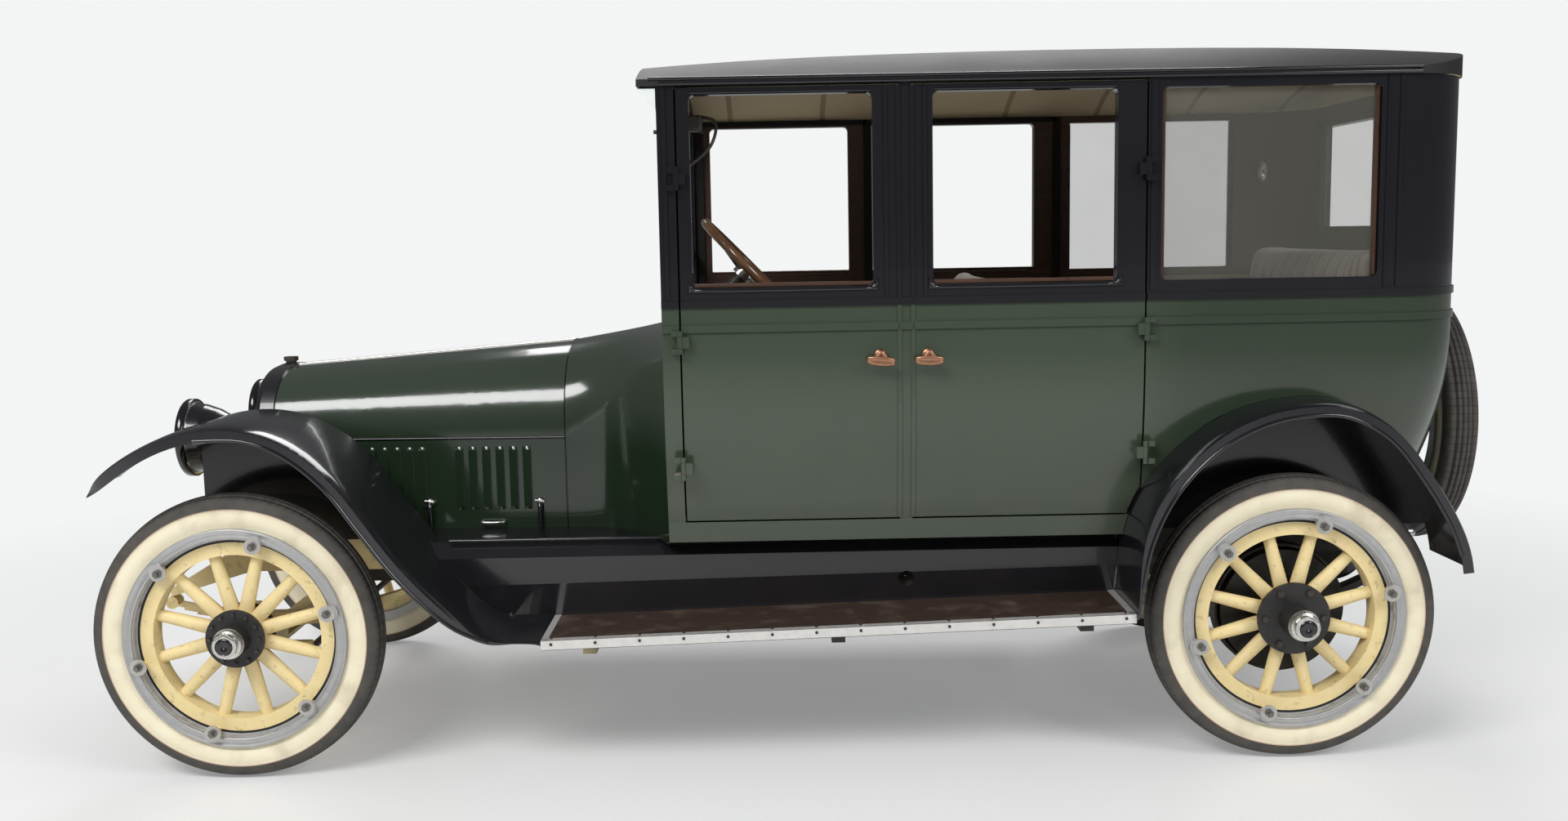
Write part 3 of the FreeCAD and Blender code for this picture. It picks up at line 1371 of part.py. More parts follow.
def make_tail():
    """The petrol tank between the rails, and the spare tyre on its rim behind the body."""
    x = wheelbase + tank_x_overhang
    tank_half = rail_y - rail_width - seat
    tank = rod((x, -tank_half, tank_z), (x, tank_half, tank_z), tank_radius)
    parts["fuel_tank"] = tank
    spare_x = wheelbase + rear_overhang - tyre_width / 2

    def turn(profile, x, y, z, outward):
        return turned_x([(reach, radius) for reach, radius in profile], x, y, z)

    parts["spare_tyre"] = tyre(spare_x, 0, spare_z, 1, turn)
    rim = turned_x(rim_profile(), spare_x, 0, spare_z)
    rail_back = wheelbase + rail_back_overhang
    post_x = spare_x - tyre_width / 2 - carrier_gap - carrier_radius
    ring = felloe_radius - carrier_radius - seat
    rise = math.sqrt(ring ** 2 - carrier_half ** 2)
    low_z = rail_top - rail_height / 2
    pieces = []
    for side in (-1, 1):
        y = side * carrier_half
        rail = (rail_back + seat, side * (rail_y - rail_width / 2), low_z)
        turn_x = rail[0] + carrier_radius
        pieces.append(rod(rail, (turn_x,) + rail[1:], carrier_radius))
        pieces.append(rod((turn_x,) + rail[1:], (post_x, y, low_z), carrier_radius))
        for x, ball_y in ((turn_x, rail[1]), (post_x, y)):
            pieces.append(Part.makeSphere(carrier_radius, Vector(x, ball_y, low_z)))
        pieces.append(rod((post_x, y, low_z), (post_x, y, spare_z + rise), carrier_radius))
        for z in (spare_z - rise, spare_z + rise):
            pieces.append(Part.makeSphere(carrier_radius, Vector(post_x, y, z)))
            pieces.append(rod((post_x, y, z), (spare_x + rim_width / 3, y, z), carrier_radius))
    for z in (spare_z - rise, spare_z + rise):
        pieces.append(rod((post_x, -carrier_half, z), (post_x, carrier_half, z),
                          carrier_radius * 0.8))
    parts["spare_carrier"] = Part.makeCompound([joined(pieces), rim])


def make_exhaust():
    """A pipe from the engine's right side to a silencer, hung from two cross members."""
    y = engine_half + pipe_radius + seat
    start_x = between(member_x(0), member_x(1), pipe_start_share)
    end_x = member_x(3) + tail_pipe_length
    middle = between(member_x(2) + member_width, member_x(3) - muffler_length, 0.5)
    pieces = [rod((start_x, y, pipe_z), (end_x, y, pipe_z), pipe_radius),
              rod((middle, y, pipe_z), (middle + muffler_length, y, pipe_z), muffler_radius)]
    for index in (2, 3):
        x = member_x(index) + (member_width - hanger_length) / 2
        pieces.append(box(x, x + hanger_length, y - hanger_width / 2, y + hanger_width / 2,
                          pipe_z, rail_low + rail_wall - seat))
    parts["exhaust"] = joined(pieces)


make_wheels()
make_front_axle()
make_steering()
make_rear_axle()
make_springs()
make_frame()
make_bonnet()
make_radiator()
make_fenders()
make_boards()
make_body()
make_cowl()
make_roof()
make_windscreen(make_headlamps())
make_aprons()
make_seats()
make_steering_column()
make_tail()
make_exhaust()

os.makedirs("parts", exist_ok=True)
for name, shape in parts.items():
    shape.translate(Vector(origin_shift, 0, 0))
    shape.exportStep("parts/" + name + ".step")
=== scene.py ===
# %% [markdown]
# # A closed sedan of about 1920
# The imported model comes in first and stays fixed. Every finish and every small piece below is built
# round it, in metres, with +X to the rear of the car, +Y to its right and +Z up.

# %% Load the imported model
import bmesh
import bpy
import math
from mathutils import Matrix, Vector


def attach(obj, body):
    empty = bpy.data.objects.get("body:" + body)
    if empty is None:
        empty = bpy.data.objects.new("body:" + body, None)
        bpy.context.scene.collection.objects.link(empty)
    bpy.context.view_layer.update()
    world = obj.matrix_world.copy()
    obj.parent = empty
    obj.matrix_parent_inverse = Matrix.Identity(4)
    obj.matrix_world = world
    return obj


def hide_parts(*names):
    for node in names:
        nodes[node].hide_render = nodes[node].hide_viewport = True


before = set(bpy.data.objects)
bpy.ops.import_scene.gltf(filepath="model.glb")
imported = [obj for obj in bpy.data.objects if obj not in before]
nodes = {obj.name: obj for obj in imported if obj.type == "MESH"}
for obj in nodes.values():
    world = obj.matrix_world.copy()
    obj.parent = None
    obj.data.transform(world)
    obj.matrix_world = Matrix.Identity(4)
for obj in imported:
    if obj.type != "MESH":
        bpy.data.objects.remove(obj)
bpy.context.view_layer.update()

# %% Sizes that the pieces share
FRONT = -1.727
REAR = FRONT + 3.150
WHEEL_Y = 0.711
WHEEL_Z = 0.432
BODY_HALF = 0.708
BODY_FRONT = FRONT + 1.288
BODY_BACK = FRONT + 3.700
BELT = 1.384
SPARE_X = FRONT + 3.800
SPARE_Z = 0.950
SIDES = (("left", -1), ("right", 1))
print("axles at", FRONT, REAR)

# %% [markdown]
# ## Stage, light and camera
# A car studio has a pale sweep of floor and large soft lamps, because gloss paint mirrors whatever
# stands round it. Three big area lamps and an even world keep each colour close to what is written.

# %% Shader maths
class Value:
    """One socket of a material. Ordinary operators on it add Math nodes."""

    def __init__(self, sheet, socket):
        self.sheet, self.socket = sheet, socket

    def maths(self, kind, *others):
        made = self.sheet.add("ShaderNodeMath", {"operation": kind}, dict(enumerate((self,) + others)))
        return Value(self.sheet, made.outputs[0])

    def __add__(self, other): return self.maths("ADD", other)
    def __radd__(self, other): return self.maths("ADD", other)
    def __sub__(self, other): return self.maths("SUBTRACT", other)
    def __rsub__(self, other): return (self * -1).maths("ADD", other)
    def __mul__(self, other): return self.maths("MULTIPLY", other)
    def __rmul__(self, other): return self.maths("MULTIPLY", other)
    def __truediv__(self, other): return self.maths("DIVIDE", other)
    def __pow__(self, other): return self.maths("POWER", other)
    def __gt__(self, other): return self.maths("GREATER_THAN", other)
    def __lt__(self, other): return self.maths("LESS_THAN", other)
    def __abs__(self): return self.maths("ABSOLUTE")
    def sine(self): return self.maths("SINE")
    def limited(self): return self.maths("ADD", 0.0).maths("MAXIMUM", 0.0).maths("MINIMUM", 1.0)


class Sheet:
    """A material whose nodes are written as expressions."""

    def __init__(self, name):
        self.material = bpy.data.materials.new(name)
        self.material.use_nodes = True
        self.tree = self.material.node_tree
        self.shader = self.tree.nodes["Principled BSDF"]
        self.point = Value(self, self.add("ShaderNodeTexCoord").outputs["Object"])
        parts = self.add("ShaderNodeSeparateXYZ", {}, {0: self.point}).outputs
        self.x, self.y, self.z = (Value(self, parts[index]) for index in range(3))

    def add(self, kind, settings=None, inputs=None):
        made = self.tree.nodes.new(kind)
        for name, value in (settings or {}).items():
            setattr(made, name, value)
        for key, value in (inputs or {}).items():
            if isinstance(value, Value):
                self.tree.links.new(value.socket, made.inputs[key])
            elif value is not None:
                made.inputs[key].default_value = value
        return made

    def normal(self):
        parts = self.add("ShaderNodeSeparateXYZ", {},
                         {0: Value(self, self.add("ShaderNodeNewGeometry").outputs["Normal"])})
        return [Value(self, parts.outputs[index]) for index in range(3)]

    def noise(self, scale, detail=3.0, stretch=(1, 1, 1)):
        mapped = self.add("ShaderNodeMapping", {}, {"Vector": self.point, "Scale": stretch})
        made = self.add("ShaderNodeTexNoise", {}, {"Vector": Value(self, mapped.outputs[0]),
                                                   "Scale": scale, "Detail": detail})
        return Value(self, made.outputs["Fac"])

    def mix(self, share, first, second):
        made = self.add("ShaderNodeMix", {"data_type": "RGBA"}, {0: share})
        for index, colour in ((6, first), (7, second)):
            if isinstance(colour, Value):
                self.tree.links.new(colour.socket, made.inputs[index])
            else:
                made.inputs[index].default_value = tuple(colour) + (1.0,)
        return Value(self, made.outputs[2])

    def finish(self, colour, rough, metal=None, coat=None, height=None, bump=0.3, depth=0.001,
               alpha=None):
        wired = {"Base Color": colour, "Roughness": rough, "Metallic": metal,
                 "Coat Weight": coat, "Alpha": alpha}
        for name, value in wired.items():
            if isinstance(value, Value):
                self.tree.links.new(value.socket, self.shader.inputs[name])
            elif isinstance(value, tuple):
                self.shader.inputs[name].default_value = value + (1.0,)
            elif value is not None:
                self.shader.inputs[name].default_value = value
        if height is not None:
            made = self.add("ShaderNodeBump", {}, {"Height": height, "Strength": bump,
                                                   "Distance": depth})
            self.tree.links.new(made.outputs[0], self.shader.inputs["Normal"])
        return self.material


def distance(*parts):
    """The length of a line from its shares along two or three axes."""
    total = parts[0] ** 2.0
    for part in parts[1:]:
        total = total + part ** 2.0
    return total ** 0.5


print("shader maths ready")

# %% The studio
PALE = (0.90, 0.91, 0.91)
SKY = (0.95, 0.97, 1.0)
# How far from the middle, in metres, the floor starts to fade into the wall.
FADE_FROM = 2.2


def in_scene(name, data):
    """A new object of this data, linked into the scene."""
    made = bpy.data.objects.new(name, data)
    bpy.context.scene.collection.objects.link(made)
    return made


def studio_colour():
    """Pale for the camera and through glass, a soft light for the rest, and dim in reflections."""
    world = bpy.data.worlds.new("studio")
    bpy.context.scene.world = world
    world.use_nodes = True
    tree = world.node_tree
    tree.nodes.clear()
    path = tree.nodes.new("ShaderNodeLightPath")
    seen = tree.nodes.new("ShaderNodeMath")
    seen.operation = "MAXIMUM"
    tree.links.new(path.outputs["Is Camera Ray"], seen.inputs[0])
    tree.links.new(path.outputs["Is Transmission Ray"], seen.inputs[1])

    def light(colour, strength):
        made = tree.nodes.new("ShaderNodeBackground")
        made.inputs[0].default_value = colour + (1,)
        made.inputs[1].default_value = strength
        return made.outputs[0]

    def blend(share, first, second):
        made = tree.nodes.new("ShaderNodeMixShader")
        for index, socket in enumerate((share, first, second)):
            tree.links.new(socket, made.inputs[index])
        return made.outputs[0]

    hidden = blend(path.outputs["Is Glossy Ray"], light(SKY, 0.40), light(SKY, 0.11))
    out = tree.nodes.new("ShaderNodeOutputWorld")
    tree.links.new(blend(seen.outputs[0], hidden, light(PALE, 1.0)), out.inputs[0])


def lamp(name, place, size, watts):
    data = bpy.data.lights.new(name, "AREA")
    data.shape, data.size, data.size_y, data.energy = "RECTANGLE", size[0], size[1], watts
    made = in_scene(name, data)
    made.location = place
    made.rotation_euler = (Vector((0, 0, 0.8)) - Vector(place)).to_track_quat("-Z", "Y").to_euler()


def floor_finish():
    """Satin white near the car; far off the camera sees it as pale as the studio wall."""
    sheet = Sheet("floor_paper")
    grey = sheet.mix(sheet.noise(0.6), (0.83, 0.83, 0.82), (0.88, 0.88, 0.87))
    made = sheet.finish(grey, sheet.noise(3.0) * 0.1 + 0.32, height=sheet.noise(60.0), bump=0.02)
    camera_sees = Value(sheet, sheet.add("ShaderNodeLightPath").outputs["Is Camera Ray"])
    away = ((distance(sheet.x, sheet.y) - FADE_FROM) * 0.3).limited()
    far = (away * 0.74 + 0.26) * camera_sees
    glow = sheet.add("ShaderNodeEmission", {}, {"Color": PALE + (1,), "Strength": 1.0})
    blend = sheet.add("ShaderNodeMixShader", {}, {0: far})
    sheet.tree.links.new(sheet.shader.outputs[0], blend.inputs[1])
    sheet.tree.links.new(glow.outputs[0], blend.inputs[2])
    sheet.tree.links.new(blend.outputs[0], sheet.tree.nodes["Material Output"].inputs[0])
    return made


studio_colour()
lamp("key", (-4.0, -6.0, 7.0), (5.0, 2.6), 580)
lamp("fill", (5.5, -5.5, 5.5), (3.6, 2.2), 260)
lamp("back", (0.5, 6.5, 7.0), (7.0, 3.0), 420)
bpy.ops.mesh.primitive_circle_add(vertices=96, radius=60, fill_type="NGON", location=(0, 0, -0.001))
floor = bpy.context.object
floor.name = "studio_floor"
floor.data.materials.append(floor_finish())
print("studio with", len(bpy.data.lights), "lamps")

# %% Camera at the photo's angle
def aim(place, yaw, pitch, roll):
    right = Vector((math.cos(yaw), math.sin(yaw), 0))
    ahead = Vector((-math.sin(yaw), math.cos(yaw), 0))
    up = Vector((0, 0, 1))
    look = math.cos(pitch) * ahead - math.sin(pitch) * up
    rise = math.cos(pitch) * up + math.sin(pitch) * ahead
    side = math.cos(roll) * right + math.sin(roll) * rise
    top = math.cos(roll) * rise - math.sin(roll) * right
    return Matrix.Translation(place) @ Matrix((side, top, -look)).transposed().to_4x4()


camera = in_scene("camera", bpy.data.cameras.new("camera"))
camera.matrix_world = aim(Vector((-0.1056, -4.9717, 1.5950)), yaw=-0.0049, pitch=0.1207, roll=-0.0181)
camera.data.sensor_fit, camera.data.sensor_width, camera.data.lens = "HORIZONTAL", 36.0, 33.336
bpy.context.scene.camera = camera
bpy.context.scene.view_settings.view_transform = "Standard"
print("camera lens", camera.data.lens)

# %% [markdown]
# ## Finishes
# Old coachwork has thick gloss enamel, a little dull where dust settles low on the panels. Each
# finish here mixes two close colours with noise, roughens towards the ground and adds a fine bump,
# so that no surface is one flat colour.

# %% Paint, iron and nickel
GREEN = ((0.034, 0.048, 0.030), (0.046, 0.062, 0.040))
# The second green is a deeper one, used as painted shade: low on the body, towards its rear, and on the sides
# of the bonnet and cowl.
SHADED_GREEN = ((0.009, 0.019, 0.009), (0.016, 0.028, 0.015))
BLACK = ((0.006, 0.006, 0.008), (0.012, 0.012, 0.015))
CREAM = ((0.74, 0.58, 0.27), (0.82, 0.68, 0.37))
DUST = (0.20, 0.165, 0.125)
CLOTH_TAN = ((0.46, 0.37, 0.23), (0.56, 0.46, 0.30))
WOOD_DARK = ((0.036, 0.016, 0.009), (0.080, 0.036, 0.019))
NICKEL = ((0.62, 0.60, 0.56), (0.72, 0.71, 0.68))


def low_dust(sheet, height=0.75):
    """More dust the nearer the ground, broken up by noise."""
    return (((height - sheet.z) / height).limited() * (sheet.noise(7.0, 5.0) * 1.4 - 0.3)).limited()


def gloss_paint(name, pair, dust=0.35, rough=0.12, unshaded_top=None):
    """Enamel with dust low down. A second colour, when given, goes above the bonnet's shoulder: a plainer
    green on top, so that the pair below is painted shade on the sides.
    """
    sheet = Sheet(name)
    base = sheet.mix(sheet.noise(2.2, 4.0), *pair)
    if unshaded_top:
        # Painted shade: the sides below the shoulder keep the deep pair, and the top turns to the plainer
        # green.
        above = ((sheet.z - 0.93) * 7.0).limited() * 0.85
        base = sheet.mix(above, base, unshaded_top)
    grime = low_dust(sheet) * dust
    colour = sheet.mix(grime, base, DUST)
    return sheet.finish(colour, grime * 0.9 + sheet.noise(9.0) * 0.08 + rough, coat=(1 - grime) * 0.3,
                        height=sheet.noise(260.0, 2.0), bump=0.02)


def brushed_cream(sheet, least, share):
    """Cream that is browner in patches, where the noise is over least."""
    worn = ((sheet.noise(38.0, 8.0) - least) * 6.0).limited() * share
    return sheet.mix(worn, sheet.mix(sheet.noise(14.0, 6.0), *CREAM), (0.30, 0.19, 0.09))


def cream_paint(name):
    """Brushed cream enamel, browner in patches."""
    sheet = Sheet(name)
    return sheet.finish(brushed_cream(sheet, 0.58, 0.45), sheet.noise(25.0) * 0.25 + 0.35,
                        height=sheet.noise(90.0, 5.0), bump=0.25)


def frame_paint():
    """Cream on the front of the frame, and near-black iron from the doors back."""
    sheet = Sheet("frame_paint")
    dark = sheet.mix(sheet.noise(18.0, 6.0), (0.018, 0.017, 0.016), (0.060, 0.050, 0.040))
    colour = sheet.mix(((sheet.x + 0.75) * 6.0).limited(), brushed_cream(sheet, 0.55, 0.5), dark)
    return sheet.finish(colour, sheet.noise(25.0) * 0.25 + 0.4, height=sheet.noise(90.0, 5.0), bump=0.25)


def iron(name, pair=((0.020, 0.019, 0.018), (0.045, 0.036, 0.030)), rust=0.35):
    sheet = Sheet(name)
    base = sheet.mix(sheet.noise(18.0, 6.0), *pair)
    patches = ((sheet.noise(30.0, 8.0) - 0.52) * 5.0).limited() * rust
    colour = sheet.mix(patches, base, (0.16, 0.07, 0.03))
    return sheet.finish(colour, patches * 0.3 + 0.48, height=sheet.noise(120.0, 5.0), bump=0.35)


def bright_metal(name, pair=NICKEL, rough=0.2):
    sheet = Sheet(name)
    colour = sheet.mix(sheet.noise(40.0, 6.0), *pair)
    return sheet.finish(colour, sheet.noise(60.0, 4.0) * 0.2 + rough, metal=1.0,
                        height=sheet.noise(300.0, 3.0), bump=0.05)


black_paint = gloss_paint("black_enamel", BLACK, 0.12)
# The bonnet and cowl carry the shaded green on their sides as painted shade, with the plain green on top.
green_paint = gloss_paint("green_enamel_shaded_sides", SHADED_GREEN, 0.2, unshaded_top=(0.038, 0.050, 0.036))
cream_finish = cream_paint("cream_enamel")
iron_finish = iron("black_iron")
rust_finish = iron("rusty_iron", ((0.10, 0.055, 0.03), (0.18, 0.10, 0.06)), 0.7)
nickel_finish = bright_metal("nickel_plate")
copper_finish = bright_metal("worn_copper", ((0.34, 0.16, 0.095), (0.54, 0.30, 0.19)), 0.30)
silver_finish = bright_metal("silver_edging", ((0.55, 0.53, 0.49), (0.66, 0.65, 0.61)), 0.34)
edging_finish = bright_metal("board_edge_metal", ((0.78, 0.76, 0.73), (0.93, 0.92, 0.90)), 0.55)
print("paints ready")

# %% [markdown]
# ## Body shell
# One panel carries several finishes: green outside below the belt, black above it, and cloth or
# varnished wood inside. The way a face points and its height tell them apart, so one material
# with masks does what an upholsterer and a painter do on the real panel.

# %% Outside and inside of the shell
WOOD_FROM = 1.41


def shell_finish():
    sheet = Sheet("body_shell")
    norm_x, norm_y, norm_z = sheet.normal()
    cloudy = sheet.noise(2.2, 4.0)
    # Painted shade: the green deepens to the shaded green towards the rear and low down, where it stands for
    # the dark fenders and boards reflected in the paint.
    behind = ((sheet.x - 0.98) * 8.0).limited() * 0.45
    low_reflection_share = ((0.80 - sheet.z) * 14.0).limited() * 0.5
    shade_share = (behind + low_reflection_share).limited()
    green = sheet.mix(shade_share, sheet.mix(cloudy, *GREEN), sheet.mix(cloudy, *SHADED_GREEN))
    paint = sheet.mix(sheet.z > BELT, green, sheet.mix(cloudy, *BLACK))
    grime = low_dust(sheet, 1.1) * 0.2
    paint = sheet.mix(grime, paint, DUST)
    sign = (sheet.y > 0) * 2 - 1
    in_side = (norm_y * sign < -0.25) * (abs(sheet.y) > 0.5)
    in_back = (norm_x < -0.25) * (sheet.x > 1.70)
    in_floor = (norm_z > 0.5) * (sheet.z < 0.9)
    inward = (in_side + in_back + in_floor).limited()
    weave = (sheet.x * 900).sine() * (sheet.z * 900).sine() * 0.5 + 0.5
    cloth = sheet.mix(weave * 0.6 + sheet.noise(8.0) * 0.4, (0.20, 0.155, 0.115), (0.30, 0.24, 0.18))
    wood = sheet.mix(sheet.noise(14.0, 6.0, (1, 1, 6)), *WOOD_DARK)
    wooden = sheet.z > WOOD_FROM
    colour = sheet.mix(inward, paint, sheet.mix(wooden, cloth, wood))
    rough = inward * (0.75 - wooden * 0.35) + (1 - inward) * (grime * 0.8 + 0.15)
    height = inward * weave * 0.6 + sheet.noise(260.0, 2.0) * (1 - inward) * 0.05
    return sheet.finish(colour, rough, coat=(1 - inward) * 0.3, height=height, bump=0.25, depth=0.0006)


def roof_finish():
    """Black leathercloth on top, and a tan headlining with seams across underneath."""
    sheet = Sheet("roof_cloth")
    norm_x, norm_y, norm_z = sheet.normal()
    sign = (sheet.y > 0) * 2 - 1
    faces_in = (norm_z < -0.3) + (norm_y * sign < -0.3) + (norm_x < -0.3) * (sheet.x > 1.5)
    inside = faces_in.limited() * (abs(sheet.y) < 0.666) * (sheet.x > BODY_FRONT + 0.03)
    inside = inside * (sheet.x < BODY_BACK - 0.03)
    seam = ((sheet.x * 18.0).sine() > 0.985) * inside
    tan = sheet.mix(sheet.noise(5.0, 4.0), *CLOTH_TAN)
    tan = sheet.mix(seam * 0.6, tan, (0.18, 0.12, 0.07))
    black = sheet.mix(sheet.noise(3.0, 4.0), (0.010, 0.010, 0.010), (0.022, 0.021, 0.020))
    top = sheet.mix(inside, black, tan)
    grain = sheet.noise(420.0, 3.0)
    sheet.shader.inputs["Specular IOR Level"].default_value = 0.3
    return sheet.finish(top, inside * 0.35 + 0.55 + sheet.noise(6.0) * 0.08,
                        height=grain + seam, bump=0.25, depth=0.0005)


def floor_mat():
    """Green sills outside, a brown ribbed mat inside."""
    sheet = Sheet("floor_and_sills")
    top = (sheet.normal()[2] > 0.5) * (abs(sheet.y) < 0.62)
    ribs = (sheet.y * 520).sine() * 0.5 + 0.5
    mat = sheet.mix(ribs * 0.5 + sheet.noise(12.0) * 0.5, (0.035, 0.024, 0.018), (0.10, 0.07, 0.05))
    colour = sheet.mix(top, sheet.mix(sheet.noise(2.2, 4.0), *GREEN), mat)
    return sheet.finish(colour, top * 0.5 + 0.3, coat=(1 - top) * 0.4, height=ribs * top, bump=0.3)


def clothe(names, material):
    """Gives CAD nodes their finish."""
    for name in names:
        nodes[name].data.materials.clear()
        nodes[name].data.materials.append(material)


shell_paint = shell_finish()
clothe(["rear_body", "door_posts"] + ["door_%s_%s" % (end, side) for end in ("front", "rear")
                                      for side in ("left", "right")], shell_paint)
clothe(["roof"], roof_finish())
clothe(["body_floor"], floor_mat())
clothe(["cowl", "bonnet"], green_paint)
clothe(["front_fenders", "rear_fenders", "splash_aprons", "windscreen_frame", "fuel_tank"],
       black_paint)
clothe(["front_axle", "knuckle_left", "knuckle_right"], cream_finish)
clothe(["chassis_frame", "leaf_springs"], frame_paint())
clothe(["rear_axle", "engine_block", "tie_rod", "driver_controls"], iron_finish)
clothe(["exhaust"], rust_finish)
print("body shell clothed")

# %% Glass
def glass_finish():
    """Clear panes with a thin film of dust on all; the quarter windows get a dark tint, a painted shade of
    the dim back of the cabin seen through them.
    """
    sheet = Sheet("glass_panes")
    quarter = (sheet.x > 1.0) * (sheet.x < 1.75)
    film = sheet.noise(5.0, 6.0) * 0.10
    # Painted shade: the quarter panes are tinted dark so that the cabin behind them reads dim.
    colour = sheet.mix(quarter, (0.80, 0.83, 0.80), (0.16, 0.16, 0.14))
    return sheet.finish(colour, 0.03 + film * 0.4, alpha=film * 0.5 + 0.07 + quarter * 0.13)



def felt():
    sheet = Sheet("door_stop_felt")
    fuzz = sheet.noise(400.0, 3.0)
    return sheet.finish(sheet.mix(fuzz, (0.006, 0.005, 0.005), (0.018, 0.015, 0.014)), 0.95, height=fuzz)


def painted_glare():
    # Painted reflection: an opaque pale grey stands in for the bright studio that the visor's glass wings
    # reflect.
    sheet = Sheet("painted_glare_glass")
    return sheet.finish(sheet.mix(sheet.noise(20.0), (0.60, 0.63, 0.62), (0.74, 0.77, 0.76)), 0.25)


clothe(["glazing"], glass_finish())
felt_finish = felt()
painted_glare_finish = painted_glare()
print("glass ready")

# %% [markdown]
# ## Radiator, lamps and dashboard
# The radiator shell is black enamel with a nickel filler cap; the lamps are black bells with
# bright rims and silvered bowls. Height and distance from an axis pick the right metal.

# %% Radiator and lamps
def two_metals(name, pair, where, bright=NICKEL, rough=0.22):
    """Paint with a bright metal where the mask is 1."""
    sheet = Sheet(name)
    mask = where(sheet)
    colour = sheet.mix(mask, sheet.mix(sheet.noise(2.2, 4.0), *pair), sheet.mix(sheet.noise(40.0), *bright))
    return sheet.finish(colour, sheet.noise(30.0) * 0.1 + rough * 0.8, metal=mask,
                        coat=(1 - mask) * 0.5, height=sheet.noise(260.0), bump=0.03)


def lamp_bright(sheet):
    rim = (sheet.x < FRONT - 0.244) * (sheet.z > 0.84)
    bowl = (sheet.normal()[0] < -0.15) * (sheet.x < FRONT - 0.09) * (sheet.z > 0.84)
    return (rim + bowl).limited()


def fin_finish():
    sheet = Sheet("radiator_fins")
    rows = (sheet.z * 1100).sine() * 0.5 + 0.5
    # The dark between the rows of fins is painted shade of the open cells between them.
    colour = sheet.mix(rows, (0.025, 0.022, 0.020), (0.20, 0.17, 0.14))
    return sheet.finish(colour, 0.5, metal=0.6, height=rows, bump=0.5)


clothe(["radiator_shell"], two_metals("radiator_shell_paint", BLACK, lambda sheet: sheet.z > 1.192,
                                       ((0.10, 0.085, 0.07), (0.22, 0.19, 0.16)), 0.4))
clothe(["radiator_core"], fin_finish())
clothe(["headlamps"], two_metals("headlamp_paint", BLACK, lamp_bright))


def varnish(name):
    sheet = Sheet(name)
    rings = sheet.noise(9.0, 7.0, (1, 5, 1))
    colour = sheet.mix(rings, *WOOD_DARK)
    return sheet.finish(colour, rings * 0.15 + 0.22, coat=0.6, height=rings, bump=0.08)


wood_finish = varnish("dark_varnish")
clothe(["dashboard", "seat_bases"], wood_finish)


def hub_distance(sheet):
    """How far a point is from the hub of the steering wheel."""
    return distance(sheet.x - (FRONT + 1.543), sheet.y + 0.285, sheet.z - 1.491)


def wheel_rim_wood():
    sheet = Sheet("steering_wheel_wood")
    wood = hub_distance(sheet) > 0.181
    grain = sheet.noise(30.0, 6.0)
    colour = sheet.mix(wood, (0.62, 0.60, 0.57), sheet.mix(grain, (0.07, 0.03, 0.014), (0.20, 0.095, 0.04)))
    return sheet.finish(colour, 0.25, metal=1 - wood, coat=wood * 0.6, height=grain, bump=0.05)


clothe(["steering_wheel"], wheel_rim_wood())
print("radiator, lamps and dashboard clothed")

# %% [markdown]
# ## Wheels
# Artillery wheels have cream-painted hickory spokes between black hub flanges, a steel rim in
# silver paint and a plain nickel hub cap. The distance from the hub and along its axle says which
# part a point belongs to.

# %% Wheel finish
def wheel_finish(name, x, flange, cap_reach):
    """Cream spokes, black hub flanges, a silver rim and a nickel cap."""
    sheet = Sheet(name)
    reach = distance(sheet.x - x, sheet.z - WHEEL_Z)
    out = abs(sheet.y) - WHEEL_Y
    # Silver starts at this radius, and nearer the hub only on what stands out past the second size.
    silver_from, stands_out = 0.296, 0.0445
    rim = ((reach > silver_from) + (reach > 0.262) * (out > stands_out)).limited()
    # A near-black ring in the narrow space between felloe and rim is a painted shadow.
    shadow_gap = (reach > 0.2885) * (reach < silver_from) * (out > 0.02) * (out < stands_out)
    hub = (reach < flange + 0.001) * (abs(out) > 0.0415)
    cap = (out > cap_reach - 0.036) * (reach < 0.05)
    back = out < -0.0405
    dark = ((hub + back * (reach < 0.24)).limited() * (1 - cap)).limited()
    grain = sheet.noise(34.0, 7.0)
    cream = sheet.mix(grain, *CREAM)
    worn = ((sheet.noise(60.0, 8.0) - 0.6) * 7.0).limited() * 0.5
    near_hub = ((0.15 - reach) * 9.0).limited() * 0.35
    cream = sheet.mix((worn + near_hub).limited(), cream, (0.26, 0.16, 0.075))
    silver = sheet.mix(sheet.noise(50.0, 6.0), (0.42, 0.42, 0.42), (0.58, 0.58, 0.58))
    silver = sheet.mix(((sheet.noise(22.0, 7.0) - 0.56) * 6.0).limited() * 0.5, silver, (0.22, 0.14, 0.09))
    colour = sheet.mix(shadow_gap, sheet.mix(rim, cream, silver), (0.012, 0.011, 0.010))
    colour = sheet.mix(dark, colour, sheet.mix(grain, (0.012, 0.012, 0.012), (0.03, 0.028, 0.026)))
    colour = sheet.mix(cap, colour, (0.60, 0.58, 0.54))
    rough = 0.42 + grain * 0.15 - cap * 0.22
    return sheet.finish(colour, rough, metal=(cap + rim * 0.55).limited(), height=grain, bump=0.18)


def spare_rim(sheet):
    """The steel rim on the carrier lies outside this radius."""
    return distance(sheet.y, sheet.z - SPARE_Z) > 0.2995


for end, x, flange, cap_reach in (("front", FRONT, 0.087, 0.139), ("rear", REAR, 0.108, 0.169)):
    clothe(["wheel_%s_%s" % (end, side) for side in ("left", "right")],
           wheel_finish("wheel_%s_paint" % end, x, flange, cap_reach))
clothe(["spare_carrier"], two_metals("carrier_and_rim", ((0.02, 0.02, 0.02), (0.05, 0.045, 0.04)),
                                     spare_rim, ((0.34, 0.35, 0.37), (0.52, 0.53, 0.55)), 0.4))
print("wheels painted")

